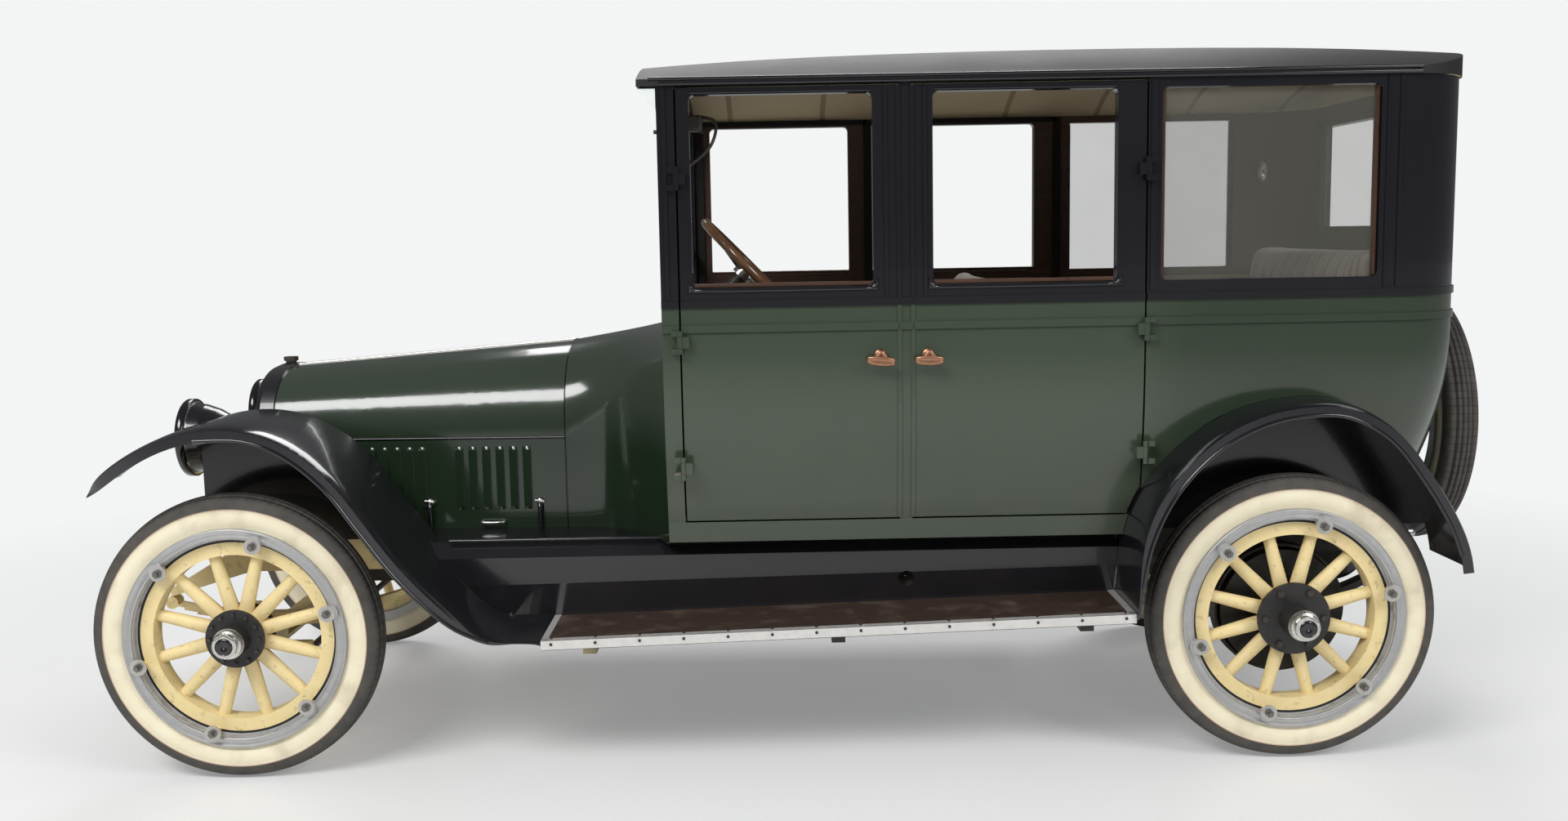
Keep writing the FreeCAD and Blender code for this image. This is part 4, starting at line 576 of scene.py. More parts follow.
# %% [markdown]
# ## Tyres
# A turned section gives a tyre its form: a swelling white side wall with two fine ribs and a tread of
# five ribs with grooves between. A lathe or Spin does this on a real mould too.

# %% Mesh helpers
def object_of(name, verts, faces, smooth=True):
    data = bpy.data.meshes.new(name)
    data.from_pydata([tuple(v) for v in verts], [], faces)
    data.polygons.foreach_set("use_smooth", [smooth] * len(data.polygons))
    data.validate()
    return in_scene(name, data)


def between_rings(rings, around, closed=False):
    """Faces that join each ring of points to the next one, and the last to the first if closed."""
    faces = []
    for ring in range(rings if closed else rings - 1):
        here, after = ring * around, (ring + 1) % rings * around
        for corner in range(around):
            there = (corner + 1) % around
            faces.append((here + corner, here + there, after + there, after + corner))
    return faces


def skin(name, verts, around, smooth=False):
    """Rings of points as a closed skin, with a face over each end."""
    faces = between_rings(len(verts) // around, around)
    faces += [tuple(range(around)), tuple(range(len(verts) - around, len(verts)))]
    return facing_out(object_of(name, verts, faces, smooth))


def turned(name, profile, centre, axis, segments):
    """A closed profile of (along, radius) pairs turned about X or Y through the centre."""
    verts = []
    for step in range(segments):
        angle = 2 * math.pi * step / segments
        for along, radius in profile:
            a, b = radius * math.cos(angle), radius * math.sin(angle)
            offset = Vector((along, a, b)) if axis == "X" else Vector((b, along, a))
            verts.append(Vector(centre) + offset)
    return facing_out(object_of(name, verts, between_rings(segments, len(profile), True)))


def facing_out(made):
    shape = bmesh.new()
    shape.from_mesh(made.data)
    bmesh.ops.remove_doubles(shape, verts=shape.verts, dist=1e-6)
    bmesh.ops.recalc_face_normals(shape, faces=shape.faces)
    shape.to_mesh(made.data)
    shape.free()
    return made


def plain_copy(made, name):
    """The evaluated mesh as a new plain object; the first one goes."""
    graph = bpy.context.evaluated_depsgraph_get()
    fresh = in_scene(name, bpy.data.meshes.new_from_object(made.evaluated_get(graph)))
    bpy.data.objects.remove(made)
    fresh.name = name
    return fresh


def place(made, body, material, slot):
    """Gives a piece its finish and lets it ride with a body."""
    made.data.materials.clear()
    made.data.materials.append(material)
    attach(made, body)
    return made


def written(name, shape):
    """An edited shape as a new object."""
    data = bpy.data.meshes.new(name)
    shape.to_mesh(data)
    shape.free()
    return in_scene(name, data)


def merged(name, pieces):
    """Several pieces of one finish as one object."""
    shape = bmesh.new()
    for piece in pieces:
        shape.from_mesh(piece.data)
        bpy.data.objects.remove(piece)
    return written(name, shape)


def box_shape(low, high):
    """A box between two corners, still to be edited."""
    shape = bmesh.new()
    bmesh.ops.create_cube(shape, size=1.0)
    for vert in shape.verts:
        vert.co = Vector([low[axis] + (vert.co[axis] + 0.5) * (high[axis] - low[axis])
                          for axis in range(3)])
    return shape


print("mesh helpers ready")

# %% Geometry Nodes helpers
def node_tree(name, inputs):
    """An empty tree with named inputs and one geometry output."""
    tree = bpy.data.node_groups.new(name, "GeometryNodeTree")
    tree.interface.new_socket("Geometry", in_out="OUTPUT", socket_type="NodeSocketGeometry")
    for label, kind, value in inputs:
        socket = tree.interface.new_socket(label, in_out="INPUT", socket_type="NodeSocket" + kind)
        if value is not None:
            socket.default_value = value
    return tree, tree.nodes.new("NodeGroupInput"), tree.nodes.new("NodeGroupOutput")


def end_tree(tree, shape, given, last):
    """Turns instances into faces and gives them the material input."""
    real = tree.nodes.new("GeometryNodeRealizeInstances")
    paint = tree.nodes.new("GeometryNodeSetMaterial")
    tree.links.new(shape, real.inputs[0])
    tree.links.new(real.outputs[0], paint.inputs[0])
    tree.links.new(given.outputs["Material"], paint.inputs["Material"])
    tree.links.new(paint.outputs[0], last.inputs[0])


def feed(tree, given, sockets):
    """Links named inputs of the tree to the sockets that use them."""
    for label, socket in sockets:
        tree.links.new(given.outputs[label], socket)


def ring_of_bolts():
    """Hexagon heads evenly round a circle, then turned and carried to their place."""
    tree, given, last = node_tree("ring_of_bolts", [
        ("Count", "Int", 6), ("Ring radius", "Float", 0.07), ("Bolt radius", "Float", 0.008),
        ("Height", "Float", 0.006), ("Sides", "Int", 6), ("Phase", "Float", 0.0),
        ("Turn", "Vector", (0, 0, 0)), ("Place", "Vector", (0, 0, 0)), ("Material", "Material", None)])
    ring = tree.nodes.new("GeometryNodeMeshCircle")
    head = tree.nodes.new("GeometryNodeMeshCylinder")
    spread = tree.nodes.new("GeometryNodeInstanceOnPoints")
    spin = tree.nodes.new("GeometryNodeTransform")
    move = tree.nodes.new("GeometryNodeTransform")
    phase = tree.nodes.new("ShaderNodeCombineXYZ")
    feed(tree, given, (("Count", ring.inputs["Vertices"]), ("Ring radius", ring.inputs["Radius"]),
                       ("Sides", head.inputs["Vertices"]), ("Bolt radius", head.inputs["Radius"]),
                       ("Height", head.inputs["Depth"]), ("Phase", phase.inputs["Z"]),
                       ("Turn", move.inputs["Rotation"]), ("Place", move.inputs["Translation"])))
    tree.links.new(ring.outputs[0], spread.inputs["Points"])
    tree.links.new(head.outputs["Mesh"], spread.inputs["Instance"])
    tree.links.new(spread.outputs[0], spin.inputs[0])
    tree.links.new(phase.outputs[0], spin.inputs["Rotation"])
    tree.links.new(spin.outputs[0], move.inputs[0])
    end_tree(tree, move.outputs[0], given, last)
    return tree


def row_of_heads():
    """Round or oblong heads evenly along a line."""
    tree, given, last = node_tree("row_of_heads", [
        ("Count", "Int", 6), ("Start", "Vector", (0, 0, 0)), ("Step", "Vector", (0.1, 0, 0)),
        ("Size", "Vector", (0.01, 0.01, 0.004)), ("Sides", "Int", 12),
        ("Turn", "Vector", (0, 0, 0)), ("Material", "Material", None)])
    line = tree.nodes.new("GeometryNodeMeshLine")
    head = tree.nodes.new("GeometryNodeMeshCylinder")
    head.inputs["Radius"].default_value = 0.5
    head.inputs["Depth"].default_value = 1.0
    spread = tree.nodes.new("GeometryNodeInstanceOnPoints")
    feed(tree, given, (("Count", line.inputs["Count"]), ("Start", line.inputs["Start Location"]),
                       ("Step", line.inputs["Offset"]), ("Sides", head.inputs["Vertices"]),
                       ("Size", spread.inputs["Scale"]), ("Turn", spread.inputs["Rotation"])))
    tree.links.new(line.outputs[0], spread.inputs["Points"])
    tree.links.new(head.outputs["Mesh"], spread.inputs["Instance"])
    end_tree(tree, spread.outputs[0], given, last)
    return tree


def grown(name, tree, values, material):
    """Runs a tree on an empty mesh and keeps the result as a plain mesh."""
    made = in_scene(name + "_seed", bpy.data.meshes.new(name + "_seed"))
    modifier = made.modifiers.new("grow", "NODES")
    modifier.node_group = tree
    for item in tree.interface.items_tree:
        if item.in_out == "INPUT" and item.name in values:
            modifier[item.identifier] = values[item.name]
        if item.in_out == "INPUT" and item.name == "Material":
            modifier[item.identifier] = material
    return plain_copy(made, name)


bolt_ring, head_row = ring_of_bolts(), row_of_heads()
print("trees", [tree.name for tree in bpy.data.node_groups])

# %% Tyre section and finish
def crown_at(along):
    """The tread's radius, which falls a little to its sides."""
    return 0.4318 - along ** 2 * 5.6


def tyre_profile():
    """The section as (along the axle, radius): bead, swelling wall, shoulder and ribbed tread."""
    half = [(0.0465, 0.3065), (0.0465, 0.3335), (0.0520, 0.345), (0.0555, 0.356), (0.0572, 0.366),
            (0.0572, 0.374), (0.0562, 0.3815), (0.0548, 0.3885), (0.0558, 0.3895), (0.0556, 0.3925),
            (0.0545, 0.398), (0.0515, 0.408), (0.0475, 0.4160), (0.0420, 0.4225)]
    for edge_in, edge_out in ((0.026, 0.038), (0.0105, 0.0215)):
        crown = crown_at(edge_out)
        half += [(edge_out, crown), (edge_in, crown + (edge_out - edge_in) * 0.08),
                 (edge_in - 0.0012, crown - 0.007), (edge_in - 0.0033, crown - 0.0068)]
    half.append((0.006, crown_at(0.006)))
    return half + [(-along, radius) for along, radius in reversed(half)]


def tyre_finish(name, centre, axis):
    """Cream walls with a faint red line, and a dusty grey-brown tread."""
    sheet = Sheet(name)
    ahead = sheet.x - centre[0] if axis == "Y" else sheet.y - centre[1]
    rise = sheet.z - centre[2]
    reach = distance(ahead, rise)
    turn = ahead.maths("ARCTAN2", rise)
    tread = ((reach - 0.3905) * 900).limited()
    line = ((0.0018 - abs(reach - 0.3895)) * 900).limited()
    wall = sheet.mix(sheet.noise(16.0, 6.0), (0.74, 0.66, 0.46), (0.86, 0.80, 0.62))
    stain = ((sheet.noise(9.0, 7.0) - 0.52) * 5.0).limited() * 0.35
    scuff = ((reach - 0.374) * 40.0).limited() * sheet.noise(40.0, 6.0) * 0.5
    wall = sheet.mix((stain + scuff).limited(), wall, (0.32, 0.25, 0.18))
    wall = sheet.mix(line * 0.55, wall, (0.40, 0.14, 0.08))
    rubber = sheet.mix(sheet.noise(26.0, 6.0), (0.030, 0.029, 0.027), (0.105, 0.094, 0.080))
    sipes = ((turn * 110).sine() > 0.93) * (reach > 0.418)
    # The sipes are also painted near-black: painted shade in their grooves.
    rubber = sheet.mix(sipes * 0.6, rubber, (0.008, 0.008, 0.008))
    colour = sheet.mix(tread, wall, rubber)
    height = sheet.noise(70.0, 6.0) * 0.4 - sipes * 0.8
    return sheet.finish(colour, tread * 0.15 + 0.62, height=height, bump=0.35, depth=0.0015)


profile = tyre_profile()
wall_finishes = {"front": tyre_finish("tyre_front_rubber", (FRONT, 0, WHEEL_Z), "Y"),
                 "rear": tyre_finish("tyre_rear_rubber", (REAR, 0, WHEEL_Z), "Y")}
for end, x in (("front", FRONT), ("rear", REAR)):
    for side, sign in SIDES:
        made = turned("whitewall_%s_%s" % (end, side), profile, (x, sign * WHEEL_Y, WHEEL_Z), "Y", 144)
        place(made, "wheel_%s_%s" % (end, side), wall_finishes[end], "tyre_rubber")
        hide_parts("tyre_%s_%s" % (end, side))
spare = turned("whitewall_spare", profile, (SPARE_X, 0, SPARE_Z), "X", 144)
place(spare, "root", tyre_finish("tyre_spare_rubber", (SPARE_X, 0, SPARE_Z), "X"), "tyre_rubber")
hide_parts("spare_tyre")
print("tyre faces", len(spare.data.polygons))

# %% Bolts, nuts, hub caps and valves
def hub_cap(name, x, sign, reach):
    """A hexagon cap with a turned shoulder behind it."""
    y, around, verts = sign * (WHEEL_Y + reach), 24, []
    rings = [(0.036, -0.032), (0.0425, -0.030), (0.0425, -0.020), (0.036, -0.017), (0.0375, -0.015),
             (0.0375, 0.000), (0.0345, 0.0028), (0.0265, 0.0028), (0.0255, 0.0008)]
    for index, (radius, depth) in enumerate(rings):
        for corner in range(around):
            angle = 2 * math.pi * corner / around
            flat = math.cos(math.pi / 6) / math.cos((angle % (math.pi / 3)) - math.pi / 6)
            size = radius * (flat if index in (4, 5, 6) else 1.0)
            verts.append((x + size * math.sin(angle), y + sign * depth, WHEEL_Z + size * math.cos(angle)))
    return skin(name, verts, around)


def rim_band(name, x, sign):
    """The rolled outer lip of a steel rim, with the shallow channel inside it."""
    out = [(0.0560, 0.3025), (0.0560, 0.3295), (0.0575, 0.3325), (0.0600, 0.3325), (0.0615, 0.3300),
           (0.0610, 0.3265), (0.0590, 0.3240), (0.0585, 0.3140), (0.0600, 0.3115), (0.0600, 0.3050)]
    return turned(name, [(sign * along, radius) for along, radius in out],
                  (x, sign * WHEEL_Y, WHEEL_Z), "Y", 120)


lip_finish = bright_metal("rim_lip_silver", ((0.46, 0.46, 0.46), (0.60, 0.60, 0.60)), 0.42)
badge_finish = gloss_paint("hub_badge_black", BLACK, 0.1)
nut_finish = bright_metal("lug_nut_steel", ((0.16, 0.155, 0.15), (0.30, 0.29, 0.27)), 0.35)
LUG_TURN = math.pi / 2 - 2 * math.pi * 0.25 / 6


def heads(name, x, sign, number, radius, bolt, height, out, material, phase=0.0, sides=6):
    """A ring of heads on a wheel's outer side; out is measured from the wheel's middle."""
    return grown(name, bolt_ring,
                 {"Count": number, "Ring radius": radius, "Bolt radius": bolt, "Height": height,
                  "Sides": sides, "Phase": phase, "Turn": (-sign * math.pi / 2, 0, 0),
                  "Place": (x, sign * (WHEEL_Y + out), WHEEL_Z)}, material)


for end, x, ring, count, size, reach in (("front", FRONT, 0.074, 12, 0.0060, 0.139),
                                         ("rear", REAR, 0.088, 6, 0.0105, 0.169)):
    for side, sign in SIDES:
        ending = "_%s_%s" % (end, side)
        body = "wheel" + ending
        bolts = heads("hub_bolts" + ending, x, sign, count, ring, size, 0.010, 0.058, iron_finish)
        place(bolts, body, iron_finish, "axle_iron")
        washers = heads("lug_washers" + ending, x, sign, 6, 0.2925, 0.0245, 0.005, 0.0725,
                        silver_finish, LUG_TURN, 28)
        place(washers, body, silver_finish, "rim_steel")
        nuts = [heads("nuts", x, sign, 6, 0.2915, 0.0125, 0.010, 0.0795, nut_finish, LUG_TURN),
                heads("studs", x, sign, 6, 0.2915, 0.0065, 0.008, 0.0870, nut_finish, LUG_TURN, 12)]
        place(merged("lug_nuts" + ending, nuts), body, nut_finish, "axle_iron")
        place(rim_band("rim_band" + ending, x, sign), body, lip_finish, "rim_steel")
        place(hub_cap("hub_cap" + ending, x, sign, reach), body, nickel_finish, "rim_steel")
        badge = turned("hub_badge" + ending,
                       [(0.0, 0.0006), (0.0, 0.0254), (sign * 0.0012, 0.0254), (sign * 0.0026, 0.018),
                        (sign * 0.0030, 0.0006)], (x, sign * (WHEEL_Y + reach + 0.0008), WHEEL_Z),
                       "Y", 36)
        place(badge, body, badge_finish, "body_black")

# %% [markdown]
# ## Upholstery
# The benches are sprung cushions in striped velour. Each starts a little small and is blown up by
# Blender's Cloth with pressure, as stuffing fills a cover, and the sewn channels are pressed in after.

# %% Striped velour
def velour():
    sheet = Sheet("striped_velour")
    stripe = (sheet.y * 260).sine()
    broad = ((stripe + 0.15) * 3.0).limited()
    fine = ((sheet.y * 1040).sine() > 0.55) * 0.35
    base = sheet.mix(broad, (0.150, 0.120, 0.098), (0.300, 0.255, 0.212))
    base = sheet.mix(fine, base, (0.085, 0.066, 0.055))
    nap = sheet.noise(9.0, 5.0)
    base = sheet.mix(nap * 0.45, base, (0.40, 0.34, 0.28))
    made = sheet.finish(base, 0.88, height=sheet.noise(600.0, 2.0) + broad * 0.3, bump=0.3)
    sheet.shader.inputs["Sheen Weight"].default_value = 0.35
    return made


def cushion_block(name, low, high, lean):
    """A rounded block; its top is pushed back by lean, as a seat back leans."""
    shape = box_shape(low, high)
    for vert in shape.verts:
        if vert.co.z > (low[2] + high[2]) / 2:
            vert.co.x += lean
    bmesh.ops.subdivide_edges(shape, edges=shape.edges[:], cuts=1, use_grid_fill=True)
    bmesh.ops.bevel(shape, geom=[edge for edge in shape.edges if edge.calc_face_angle(0) > 0.5],
                    offset=0.035, segments=4, affect="EDGES", profile=0.5)
    return written(name, shape)


def swollen(made, name, voxel, cap):
    """Remeshed, blown up with Cloth pressure, and held within a cap of its first place."""
    remesh = made.modifiers.new("even faces", "REMESH")
    remesh.mode, remesh.voxel_size, remesh.use_smooth_shade = "VOXEL", voxel, True
    made = plain_copy(made, name)
    rest = [vert.co.copy() for vert in made.data.vertices]
    cloth = made.modifiers.new("stuffing", "CLOTH")
    cloth.settings.use_pressure = True
    cloth.settings.uniform_pressure_force = 4.0
    cloth.settings.effector_weights.gravity = 0.0
    cloth.settings.quality = 4
    for number in range(1, 21):
        bpy.context.scene.frame_set(number)
    made = plain_copy(made, name)
    bpy.context.scene.frame_set(1)
    for vert, start in zip(made.data.vertices, rest):
        shift = vert.co - start
        if shift.length > cap:
            vert.co = start + shift.normalized() * cap
    return made


def channelled(made, pitch, depth, face):
    """Presses sewn channels into the faces that point along a direction."""
    normals = [vert.normal.copy() for vert in made.data.vertices]
    for vert, normal in zip(made.data.vertices, normals):
        toward = max(0.0, normal.dot(face))
        groove = abs(math.sin(math.pi * vert.co.y / pitch))
        vert.co -= normal * depth * toward * (1 - groove ** 0.35)
    return made


# The cloth's grid, then the spacing and the depth of the sewn channels.
GRID, PITCH, SEWN = 0.014, 0.095, 0.012
# For each bench: its node, front and depth, the tops of seat and back, the back's thickness, half width.
SEATS = (("front_seat", FRONT + 1.760, 0.470, 1.105, 1.470, 0.120, 0.570),
         ("rear_seat", FRONT + 2.860, 0.480, 1.120, 1.545, 0.190, 0.540))
velour_finish = velour()
for node, x, depth, top, back_top, thick, half in SEATS:
    inset = 0.016
    seat = cushion_block(node + "_cushion_form", (x + inset, inset - half, top - 0.190 + 0.004),
                         (x + depth - 0.012, half - inset, top - inset), 0.0)
    seat = channelled(swollen(seat, node + "_cushion", GRID, 0.020), PITCH, SEWN, Vector((0, 0, 1)))
    lean = (back_top - top) * 0.16
    rest = cushion_block(node + "_rest_form", (x + depth + 0.012, inset - half, top - 0.184),
                         (x + depth + thick * 0.8 - 0.012, half - inset, back_top - inset), lean)
    rest = channelled(swollen(rest, node + "_rest", GRID, 0.018), PITCH, SEWN, Vector((-1, 0, 0.16)))
    for piece in (seat, rest):
        piece.data.polygons.foreach_set("use_smooth", [True] * len(piece.data.polygons))
        place(piece, "root", velour_finish, "upholstery")
        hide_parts(node)
    print(node, len(seat.data.polygons), len(rest.data.polygons))

# %% [markdown]
# ## Trim
# The last step is what a coachbuilder screws on: edging and screws on the running boards, door
# handles, mouldings at the centre posts, bonnet catches and hinge rods, and small lamps. Rods
# follow short curves with a round bevel, and rows of screws are grown by Geometry Nodes.

# %% Helpers for rods and strips
def bar(name, points, radius):
    """A round rod along a smooth line."""
    data = bpy.data.curves.new(name + "_line", "CURVE")
    data.dimensions, data.bevel_depth = "3D", radius
    data.bevel_resolution, data.use_fill_caps = 2, True
    line = data.splines.new("POLY")
    line.points.add(len(points) - 1)
    for point, where in zip(line.points, points):
        point.co = (*where, 1.0)
    made = plain_copy(in_scene(name + "_line", data), name)
    made.data.polygons.foreach_set("use_smooth", [True] * len(made.data.polygons))
    return made


def strip(name, low, high, round_by=0.002):
    """A strip or block with rounded edges."""
    shape = box_shape(low, high)
    bmesh.ops.bevel(shape, geom=shape.edges[:], offset=round_by, segments=2, affect="EDGES",
                    profile=0.5)
    return written(name, shape)


def smooth(points, steps=6):
    """A line through the points that bends evenly, for rods and beads."""
    line, count = [], len(points)
    for index in range(count - 1):
        near = [Vector(points[min(max(index + shift, 0), count - 1)]) for shift in (-1, 0, 1, 2)]
        for step in range(steps):
            t = step / steps
            line.append(0.5 * (2 * near[1] + (near[2] - near[0]) * t
                               + (2 * near[0] - 5 * near[1] + 4 * near[2] - near[3]) * t * t
                               + (3 * near[1] - near[0] - 3 * near[2] + near[3]) * t ** 3))
    return line + [Vector(points[-1])]


BODY_FOOT, BODY_BELT, FOOT_HALF = 0.672, 1.334, 0.640
TUCK_SHARES = ((0.0, 1.0), (0.24, 0.56), (0.43, 0.28), (0.64, 0.09), (1.0, 0.0))


def side_at(z):
    """How far the body's side is from the middle at a height."""
    level = (z - BODY_FOOT) / (BODY_BELT - BODY_FOOT)
    tuck = 0.0
    for (low, first), (high, last) in zip(TUCK_SHARES, TUCK_SHARES[1:]):
        if low <= level <= high:
            tuck = first + (last - first) * (level - low) / (high - low)
    return BODY_HALF - tuck * (BODY_HALF - FOOT_HALF)


def upright_band(name, x0, x1, z0, z1, sign, reach, thick, steps=24):
    """A flat band up the body's side that follows its tuck; reach is how far it stands out."""
    verts = []
    for step in range(steps + 1):
        z = z0 + (z1 - z0) * step / steps
        near, far = sign * (side_at(z) + reach), sign * (side_at(z) + reach + thick)
        verts += [(x0, near, z), (x1, near, z), (x1 - 0.0015, far, z), (x0 + 0.0015, far, z)]
    return skin(name, verts, 4)


def from_x(start, points):
    """Points whose first number is measured from a place along the car."""
    return [(start + x, y, z) for x, y, z in points]


print("trim helpers ready")

# %% Running boards: linoleum, edging and screws
def board_cover():
    sheet = Sheet("board_linoleum")
    top = sheet.normal()[2] > 0.5
    speck = sheet.noise(160.0, 4.0)
    scuffed = ((sheet.noise(11.0, 7.0) - 0.5) * 4.0).limited() * 0.4
    cover = sheet.mix(speck, (0.022, 0.012, 0.009), (0.060, 0.036, 0.026))
    cover = sheet.mix(scuffed, cover, (0.16, 0.115, 0.085))
    colour = sheet.mix(top, (0.018, 0.017, 0.016), cover)
    return sheet.finish(colour, 0.5 + scuffed * 0.3, height=speck, bump=0.25)


X0, X1 = FRONT + 0.921, FRONT + 2.658
BOARD_LENGTH, BOARD_RISE = 1.737, 0.046
BOARD_OUT, BOARD_IN = 0.8555, 0.565


def board_z(x):
    """The height of the board's top, which climbs a little to the rear."""
    return 0.432 + (x - X0) / BOARD_LENGTH * BOARD_RISE


def board_strip(x0, x1, y0, y1, low, high):
    """A strip that follows the board's slope; low and high are measured from its top."""
    made = strip("board_strip", (x0, min(y0, y1), low), (x1, max(y0, y1), high), 0.0008)
    for vert in made.data.vertices:
        vert.co.z += board_z(vert.co.x)
    return made


clothe(["running_boards"], board_cover())
for side, sign in SIDES:
    bands = [board_strip(X0, X1, sign * 0.8515, sign * BOARD_OUT, -0.026, 0.003),
             board_strip(X0, X1, sign * 0.832, sign * BOARD_OUT, 0.0, 0.003),
             board_strip(X0, X0 + 0.020, sign * BOARD_IN, sign * 0.852, 0.0, 0.003),
             board_strip(X1 - 0.020, X1, sign * BOARD_IN, sign * 0.852, 0.0, 0.003)]
    place(merged("board_edging_" + side, bands), "root", edging_finish, "rim_steel")
    step = (X1 - X0 - 0.06) / 13
    slope = step * BOARD_RISE / BOARD_LENGTH
    face = grown("face_screws", head_row,
                 {"Count": 14, "Start": (X0 + 0.03, sign * 0.8560, board_z(X0 + 0.03) - 0.010),
                  "Step": (step, 0, slope), "Size": (0.009, 0.009, 0.003),
                  "Turn": (math.pi / 2, 0, 0)}, iron_finish)
    lids = grown("top_screws", head_row,
                 {"Count": 14, "Start": (X0 + 0.03, sign * 0.842, board_z(X0 + 0.03) + 0.0035),
                  "Step": (step, 0, slope), "Size": (0.009, 0.009, 0.002)}, iron_finish)
    place(merged("board_screws_" + side, [face, lids]), "root", iron_finish, "axle_iron")
    lugs = [strip("board_lug", (x - 0.012, sign * 0.800 - 0.010, board_z(x) - 0.040),
                  (x + 0.012, sign * 0.800 + 0.010, board_z(x) - 0.0262), 0.002)
            for x in (X0 + 0.03, X0 + 0.90, X1 - 0.20)]
    place(merged("board_lugs_" + side, lugs), "root", rust_finish, "axle_iron")
print("boards trimmed")

# %% Doors: handles, cover strips and inside fittings
def door_handle(name, x, z, sign, tilt):
    """A stem with a long oval grip that lies along the door, and a saddle above it."""
    stem = bar(name + "_stem", [(x, sign * 0.703, z + 0.010), (x, sign * 0.744, z + 0.010)], 0.009)
    rose = turned(name + "_rose", [(0.0, 0.001), (0.0, 0.020), (sign * 0.003, 0.019), (sign * 0.007, 0.011),
                                   (sign * 0.007, 0.001)], (x, sign * 0.7085, z + 0.010), "Y", 32)
    verts, rings, around = [], 14, 20
    for ring in range(1, rings):
        lay = math.pi * ring / rings
        girth = math.sin(lay) ** 0.7
        for corner in range(around):
            angle = 2 * math.pi * corner / around
            flat = Vector((-0.043 * math.cos(lay), 0.0085 * girth * math.cos(angle),
                           0.0155 * girth * math.sin(angle)))
            dish = 0.004 * math.exp(-(flat.z / 0.006) ** 2) * (1 if flat.y * sign > 0 else 0)
            verts.append(Vector((x, sign * 0.7465, z - 0.004))
                         + Matrix.Rotation(tilt, 3, "Y") @ flat - Vector((0, sign * dish, 0)))
    grip = skin(name + "_grip", verts, around, True)
    saddle = bar(name + "_saddle", smooth([(x - 0.016, sign * 0.744, z + 0.004), (x, sign * 0.745, z + 0.022),
                                           (x + 0.016, sign * 0.744, z + 0.004)]), 0.0065)
    return merged(name, [stem, rose, grip, saddle])


FRONT_DOOR = (FRONT + 1.34475, FRONT + 1.98275)
REAR_DOOR = (FRONT + 2.03075, FRONT + 2.70800)
DOOR_TOP, REED_FOOT, HANDLE_Z, WINDER_Z = 2.016, 1.412, 1.226, 1.16
# For each door: its lock edge, the way past that edge, its handle and tilt, its pane and its winder.
DOORS = (("front", FRONT_DOOR[1], 1, FRONT_DOOR[1] - 0.054, 0.10,
          (FRONT_DOOR[0] + 0.038, FRONT_DOOR[1] - 0.072), FRONT_DOOR[0] + 0.2),
         ("rear", REAR_DOOR[0], -1, REAR_DOOR[0] + 0.040, 0.02,
          (REAR_DOOR[0] + 0.057, REAR_DOOR[1] - 0.084), REAR_DOOR[1] - 0.3))
# Half of the tray under a pane, as places along the door from the pane's edge and heights.
TRAY = ((-0.010, 1.462), (-0.009, 1.446), (0.004, 1.436), (0.03, 1.434))
for side, sign in SIDES:
    for end, edge, past, handle_x, tilt, (x0, x1), winder_x in DOORS:
        ending = "_%s_%s" % (end, side)
        body = "door" + ending
        handle = door_handle("door_handle" + ending, handle_x, HANDLE_Z, sign, tilt)
        place(handle, body, copper_finish, "rim_steel")
        low, high = sorted((edge - past * 0.004, edge + past * 0.012))
        cover = upright_band("cover_strip" + ending, low, high, 0.741, DOOR_TOP, sign, 0.0006, 0.003, 40)
        place(cover, body, shell_paint, "body_green")
        low, high = sorted((edge - past * 0.040, edge - past * 0.026))
        reed = upright_band("door_reed" + ending, low, high, REED_FOOT, DOOR_TOP, sign, 0.0003, 0.004)
        place(reed, body, black_paint, "body_black")
        y = sign * (BODY_HALF + 0.001)
        tray = [(x0 + along, y, z) for along, z in TRAY] + [(x1 - along, y, z) for along, z in TRAY[::-1]]
        head = [(x0 + 0.004, y, 2.0035), (x1 - 0.004, y, 2.0035)]
        frame_line = [bar("tray", smooth(tray, 4), 0.006), bar("head", head, 0.0035)]
        place(merged("sash_tray" + ending, frame_line), body, black_paint, "body_black")
        low, high = sorted((sign * 0.670, sign * 0.700))
        sill = strip("sash_rail" + ending, (x0 + 0.001, low, 1.4425), (x1 - 0.001, high, 1.455), 0.003)
        place(sill, body, wood_finish, "cabin_wood")
        knob_x, knob_z = winder_x + 0.08, WINDER_Z - 0.03
        winder = merged("winder" + ending, [
            bar("shaft", [(winder_x, sign * 0.664, WINDER_Z), (winder_x, sign * 0.640, WINDER_Z)], 0.008),
            bar("crank", [(winder_x, sign * 0.642, WINDER_Z), (knob_x, sign * 0.642, knob_z)], 0.005),
            bar("knob", [(knob_x, sign * 0.646, knob_z), (knob_x, sign * 0.618, knob_z)], 0.010)])
        place(winder, body, nickel_finish, "rim_steel")
    spans = [(x - 0.015, x + 0.015, z0, 2.020, 24) for x, z0 in (
        (FRONT_DOOR[0] - 0.0025, 0.745), (FRONT_DOOR[1] + 0.0025, 0.745),
        (REAR_DOOR[0] - 0.0025, 0.745), (REAR_DOOR[1] + 0.0025, 0.960))]
    spans += [(x0, x1, 2.004, 2.022, 2) for x0, x1 in (FRONT_DOOR, REAR_DOOR)]
    spans += [(x0, x1, 0.728, 0.750, 4) for x0, x1 in (FRONT_DOOR, (REAR_DOOR[0], REAR_DOOR[1] - 0.05))]
    stops = [upright_band("stop", x0, x1, z0, z1, sign, -0.0555, 0.005, steps)
             for x0, x1, z0, z1, steps in spans]
    place(merged("door_stops_" + side, stops), "root", felt_finish, "upholstery")
print("doors fitted")

# %% Bonnet fittings
SHOULDER_Z = 0.960


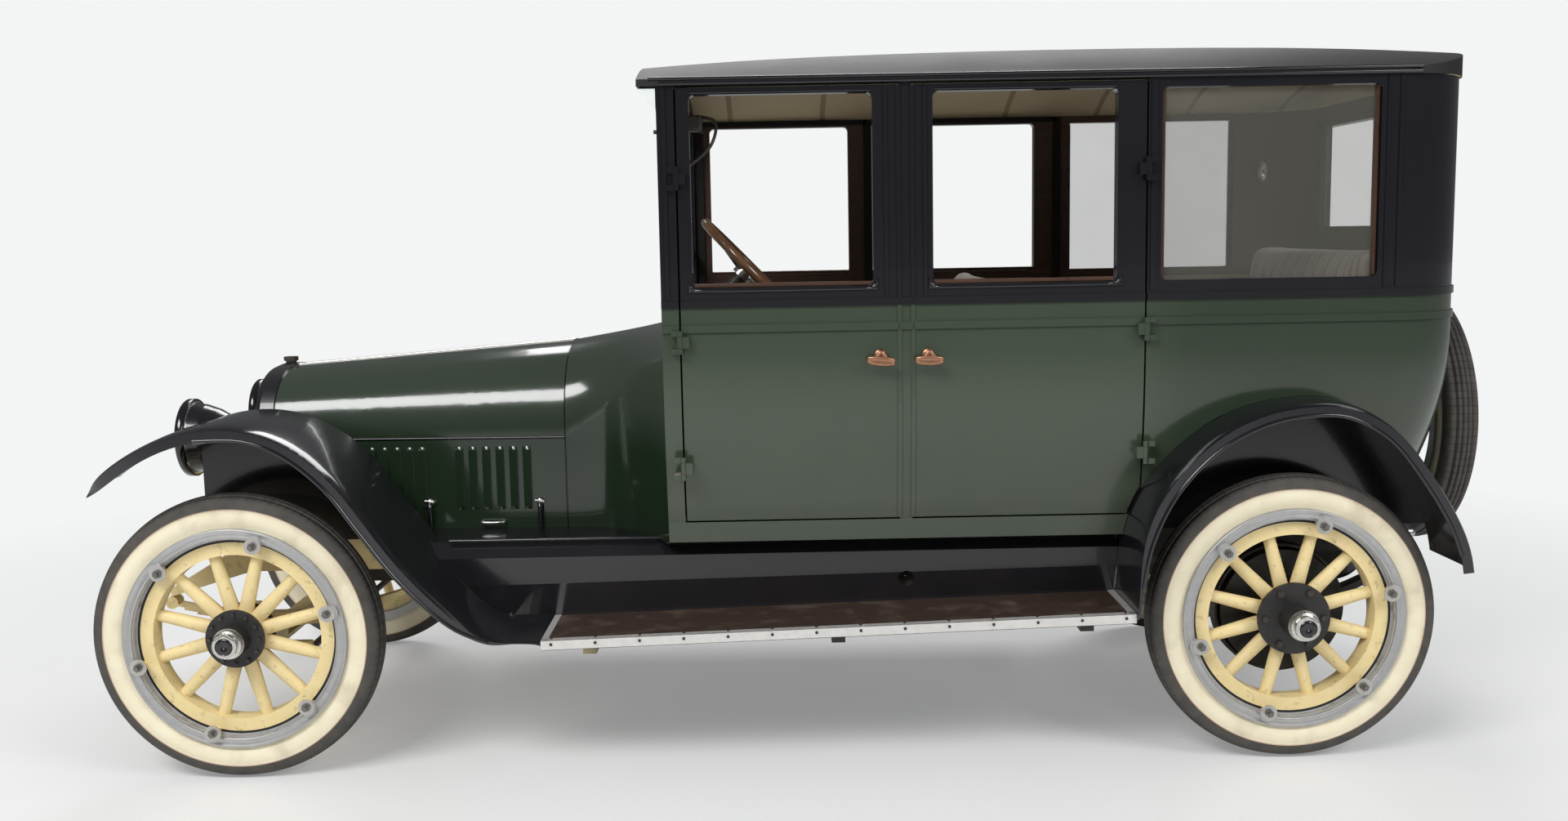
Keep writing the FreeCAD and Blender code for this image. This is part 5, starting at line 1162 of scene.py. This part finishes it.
def bonnet_half(x):
    """Half of the bonnet's width, which grows to the rear."""
    return 0.290 + (x - (FRONT - 0.015)) / 0.952 * 0.045


for side, sign in SIDES:
    rod = bar("shoulder_rod_" + side, [(x, sign * (bonnet_half(x) + 0.001), SHOULDER_Z)
                                       for x in (FRONT - 0.014, FRONT + 0.936)], 0.004)
    place(rod, "root", black_paint, "body_black")
    catches, handles = [], []
    for x in (FRONT + 0.491, FRONT + 0.850):
        y = sign * bonnet_half(x)
        catches.append(turned("catch_rose", [(0.0, 0.001), (0.0, 0.013), (sign * 0.010, 0.011),
                                             (sign * 0.014, 0.001)], (x, y, 0.752), "Y", 24))
        catches.append(bar("catch_wing", [(x - 0.016, y + sign * 0.010, 0.757),
                                          (x + 0.014, y + sign * 0.010, 0.752)], 0.0045))
        drop = [(x, y + sign * out, z) for out, z in ((0.008, 0.748), (0.017, 0.730), (0.012, 0.700),
                                                      (0.008, 0.668))]
        handles.append(bar("drop_handle", smooth(drop), 0.0075))
    x = FRONT + 0.695
    y = sign * bonnet_half(x)
    pull = [(x - 0.034, y, 0.688), (x - 0.032, y + sign * 0.018, 0.686),
            (x + 0.032, y + sign * 0.018, 0.686), (x + 0.034, y, 0.688)]
    catches.append(bar("pull", smooth(pull, 4), 0.0045))
    place(merged("drop_handles_" + side, handles), "root", black_paint, "body_black")
    liner = strip("bonnet_liner_" + side, (FRONT + 0.020, -0.0015, 0.700),
                  (FRONT + 0.925, 0.0015, 0.952), 0.001)
    for vert in liner.data.vertices:
        vert.co.y += sign * (bonnet_half(vert.co.x) - 0.0165)
    place(liner, "root", felt_finish, "upholstery")
    place(merged("bonnet_catches_" + side, catches), "root", nickel_finish, "rim_steel")
# The dark line where the bonnet rests on the cowl's lacing: upright sides, then the CAD's full arch.
FULLNESS = 2 / 2.35
half, rise = bonnet_half(FRONT + 0.937), 0.291
arch = [(-half * math.cos(math.radians(turn)) ** FULLNESS,
         SHOULDER_Z + rise * math.sin(math.radians(turn)) ** FULLNESS) for turn in range(0, 90, 6)]
arch = [(-half, 0.668)] + arch + [(0.0, SHOULDER_Z + rise)]
arch += [(-y, z) for y, z in reversed(arch[:-1])]
lacing = bar("bonnet_lacing", [(FRONT + 0.9373, y, z) for y, z in arch], 0.0026)
place(lacing, "root", black_paint, "body_black")
spine = bar("bonnet_spine", [(FRONT - 0.014, 0, 1.1835), (FRONT + 0.936, 0, 1.2525)], 0.004)
place(spine, "root", nickel_finish, "rim_steel")
print("bonnet fitted")

# %% Lamps, mirror and inside lamp
TAIL_LAMP = (FRONT + 3.640, -0.430, 0.730)
for side, sign in SIDES:
    rim = turned("headlamp_rim_" + side, [(-0.004, 0.112), (-0.004, 0.121), (0.0, 0.1245), (0.020, 0.1245),
                                          (0.022, 0.121), (0.022, 0.119), (0.0, 0.116)],
                 (FRONT - 0.268, sign * 0.324, 0.980), "X", 72)
    place(rim, "root", black_paint, "body_black")
    lead = from_x(FRONT, ((-0.085, sign * 0.322, 0.985), (-0.055, sign * 0.305, 0.970),
                          (-0.020, sign * 0.292, 0.940)))
    place(bar("lamp_lead_" + side, smooth(lead), 0.006), "root", iron_finish, "axle_iron")
tail = merged("tail_lamp", [
    turned("tail_drum", [(0.0, 0.001), (0.0, 0.034), (0.045, 0.034), (0.052, 0.030), (0.052, 0.001)],
           TAIL_LAMP, "X", 32),
    bar("tail_stalk", from_x(FRONT, ((3.640, -0.430, 0.700), (3.622, -0.428, 0.648))), 0.009)])
place(tail, "root", rust_finish, "axle_iron")
arm = from_x(BODY_FRONT, ((0.045, -0.585, 1.985), (0.090, -0.560, 1.955), (0.125, -0.555, 1.900)))
lead = from_x(BODY_FRONT, ((0.110, -0.545, 1.950), (0.165, -0.560, 1.930), (0.150, -0.575, 1.860),
                           (0.085, -0.590, 1.800)))
mirror = merged("mirror_and_wiper", [
    bar("mirror_arm", smooth(arm), 0.006),
    strip("mirror_back", (BODY_FRONT + 0.075, -0.600, 1.905), (BODY_FRONT + 0.125, -0.510, 1.950), 0.006),
    bar("wiper_lead", smooth(lead), 0.005),
    bar("wiper_shaft", from_x(BODY_FRONT, ((-0.020, -0.560, 1.905), (0.080, -0.560, 1.905))), 0.006)])
place(mirror, "root", iron_finish, "axle_iron")
for side, sign in SIDES:
    lamp_ring = turned("inside_lamp_" + side, [(0.0, 0.001), (0.0, 0.040), (-sign * 0.006, 0.043),
                                               (-sign * 0.014, 0.036), (-sign * 0.018, 0.001)],
                       (0, 0, 0), "Y", 40)
    for vert in lamp_ring.data.vertices:
        vert.co = Vector((vert.co.x * 0.5 + FRONT + 3.500, vert.co.y + sign * 0.655, vert.co.z + 1.800))
    place(lamp_ring, "root", nickel_finish, "rim_steel")
print("lamps and mirror done")

# %% [markdown]
# ## Mouldings
# Coachbuilders cover each joint of panels with a half-round bead, and roll wire into the free
# edges of the fenders so that they stay stiff. A smooth line through a few points of the real
# edge carries a round bevel; flat reeds stand on the pillars.

# %% Beads of roof, pillars, fenders and aprons
FRONT_EDGE = ((-0.045, 1.035), (0.095, 1.032), (0.209, 0.985), (0.321, 0.888), (0.409, 0.766),
              (0.497, 0.644), (0.587, 0.545), (0.678, 0.470), (0.772, 0.430))
REAR_EDGE = ((-0.475, 0.553), (-0.453, 0.673), (-0.402, 0.793), (-0.333, 0.887), (-0.240, 0.969),
             (-0.123, 1.026), (-0.006, 1.048), (0.112, 1.041), (0.232, 0.972), (0.330, 0.851),
             (0.406, 0.729), (0.445, 0.632))
FENDER_OUT, DRIP_OUT, APRON_OUT = 0.866, 0.716, 0.548


def fender_bead(name, edge, x, y):
    return bar(name, smooth([(x + along, y, z + 0.004) for along, z in edge], 5), 0.0065)


for side, sign in SIDES:
    beads = [fender_bead("front_bead", FRONT_EDGE, FRONT, sign * FENDER_OUT),
             fender_bead("rear_bead", REAR_EDGE, REAR, sign * FENDER_OUT)]
    for start, z, radius in ((0.01, 2.030, 0.006), (-0.02, 2.044, 0.005)):
        drip = [(x, sign * DRIP_OUT, z) for x in (BODY_FRONT + start, FRONT + 1.9, BODY_BACK - 0.20)]
        beads.append(bar("drip", drip, radius))
    apron = [(FRONT + x, sign * APRON_OUT, 0.6695) for x in (0.60, 2.655)]
    beads.append(bar("apron_bead", apron, 0.006))
    for x, wide in ((REAR_DOOR[1] + 0.012, 0.022), (FRONT + 3.440, 0.014), (FRONT + 3.404, 0.010),
                    (FRONT_DOOR[0] - 0.045, 0.016)):
        beads.append(upright_band("reed", x, x + wide, REED_FOOT, 2.022, sign, 0.0003, 0.004, 4))
    place(merged("black_beads_" + side, beads), "root", black_paint, "body_black")
    frame_in = [upright_band("frame_in", x, x + 0.012, 1.446, 1.994, sign, -0.030, 0.018, 4)
                for x in (FRONT + 2.7545, FRONT + 3.3765)]
    place(merged("quarter_frame_" + side, frame_in), "root", wood_finish, "cabin_wood")
    # The visor's glass wings take the pale painted reflection.
    corners = ((-0.054, 2.018), (-0.001, 2.018), (-0.001, 1.955))
    wing = [(BODY_FRONT + x, sign * y, z) for y in (0.700, 0.7085) for x, z in corners]
    place(skin("visor_wing_" + side, wing, 3), "root", painted_glare_finish, "window_glass")
print("mouldings done")

# %% Foot of the front fenders and the sockets in the aprons
# The plate follows the fender's underside, which drops ever faster towards the board.
FOOT_UNDER = [(0.782 + step * 0.0275, 0.4264 - 3.17 * (0.002 + step * 0.0275) ** 3) for step in range(6)]
for side, sign in SIDES:
    near, far, verts = sign * 0.5635, sign * 0.745, []
    for x, z in FOOT_UNDER:
        verts += [(FRONT + x, near, z), (FRONT + x, far, z), (FRONT + x, far, z - 0.003),
                  (FRONT + x, near, z - 0.003)]
    place(skin("fender_foot_" + side, verts, 4), "root", black_paint, "body_black")
    cup = turned("apron_socket_" + side, [(0.0, 0.0345), (0.0, 0.0320), (-sign * 0.024, 0.0320),
                                          (-sign * 0.024, 0.001), (-sign * 0.027, 0.001),
                                          (-sign * 0.027, 0.0345)],
                 (FRONT + 2.011, sign * 0.5675, 0.532), "Y", 40)
    place(cup, "root", iron_finish, "axle_iron")
print("feet and sockets done")
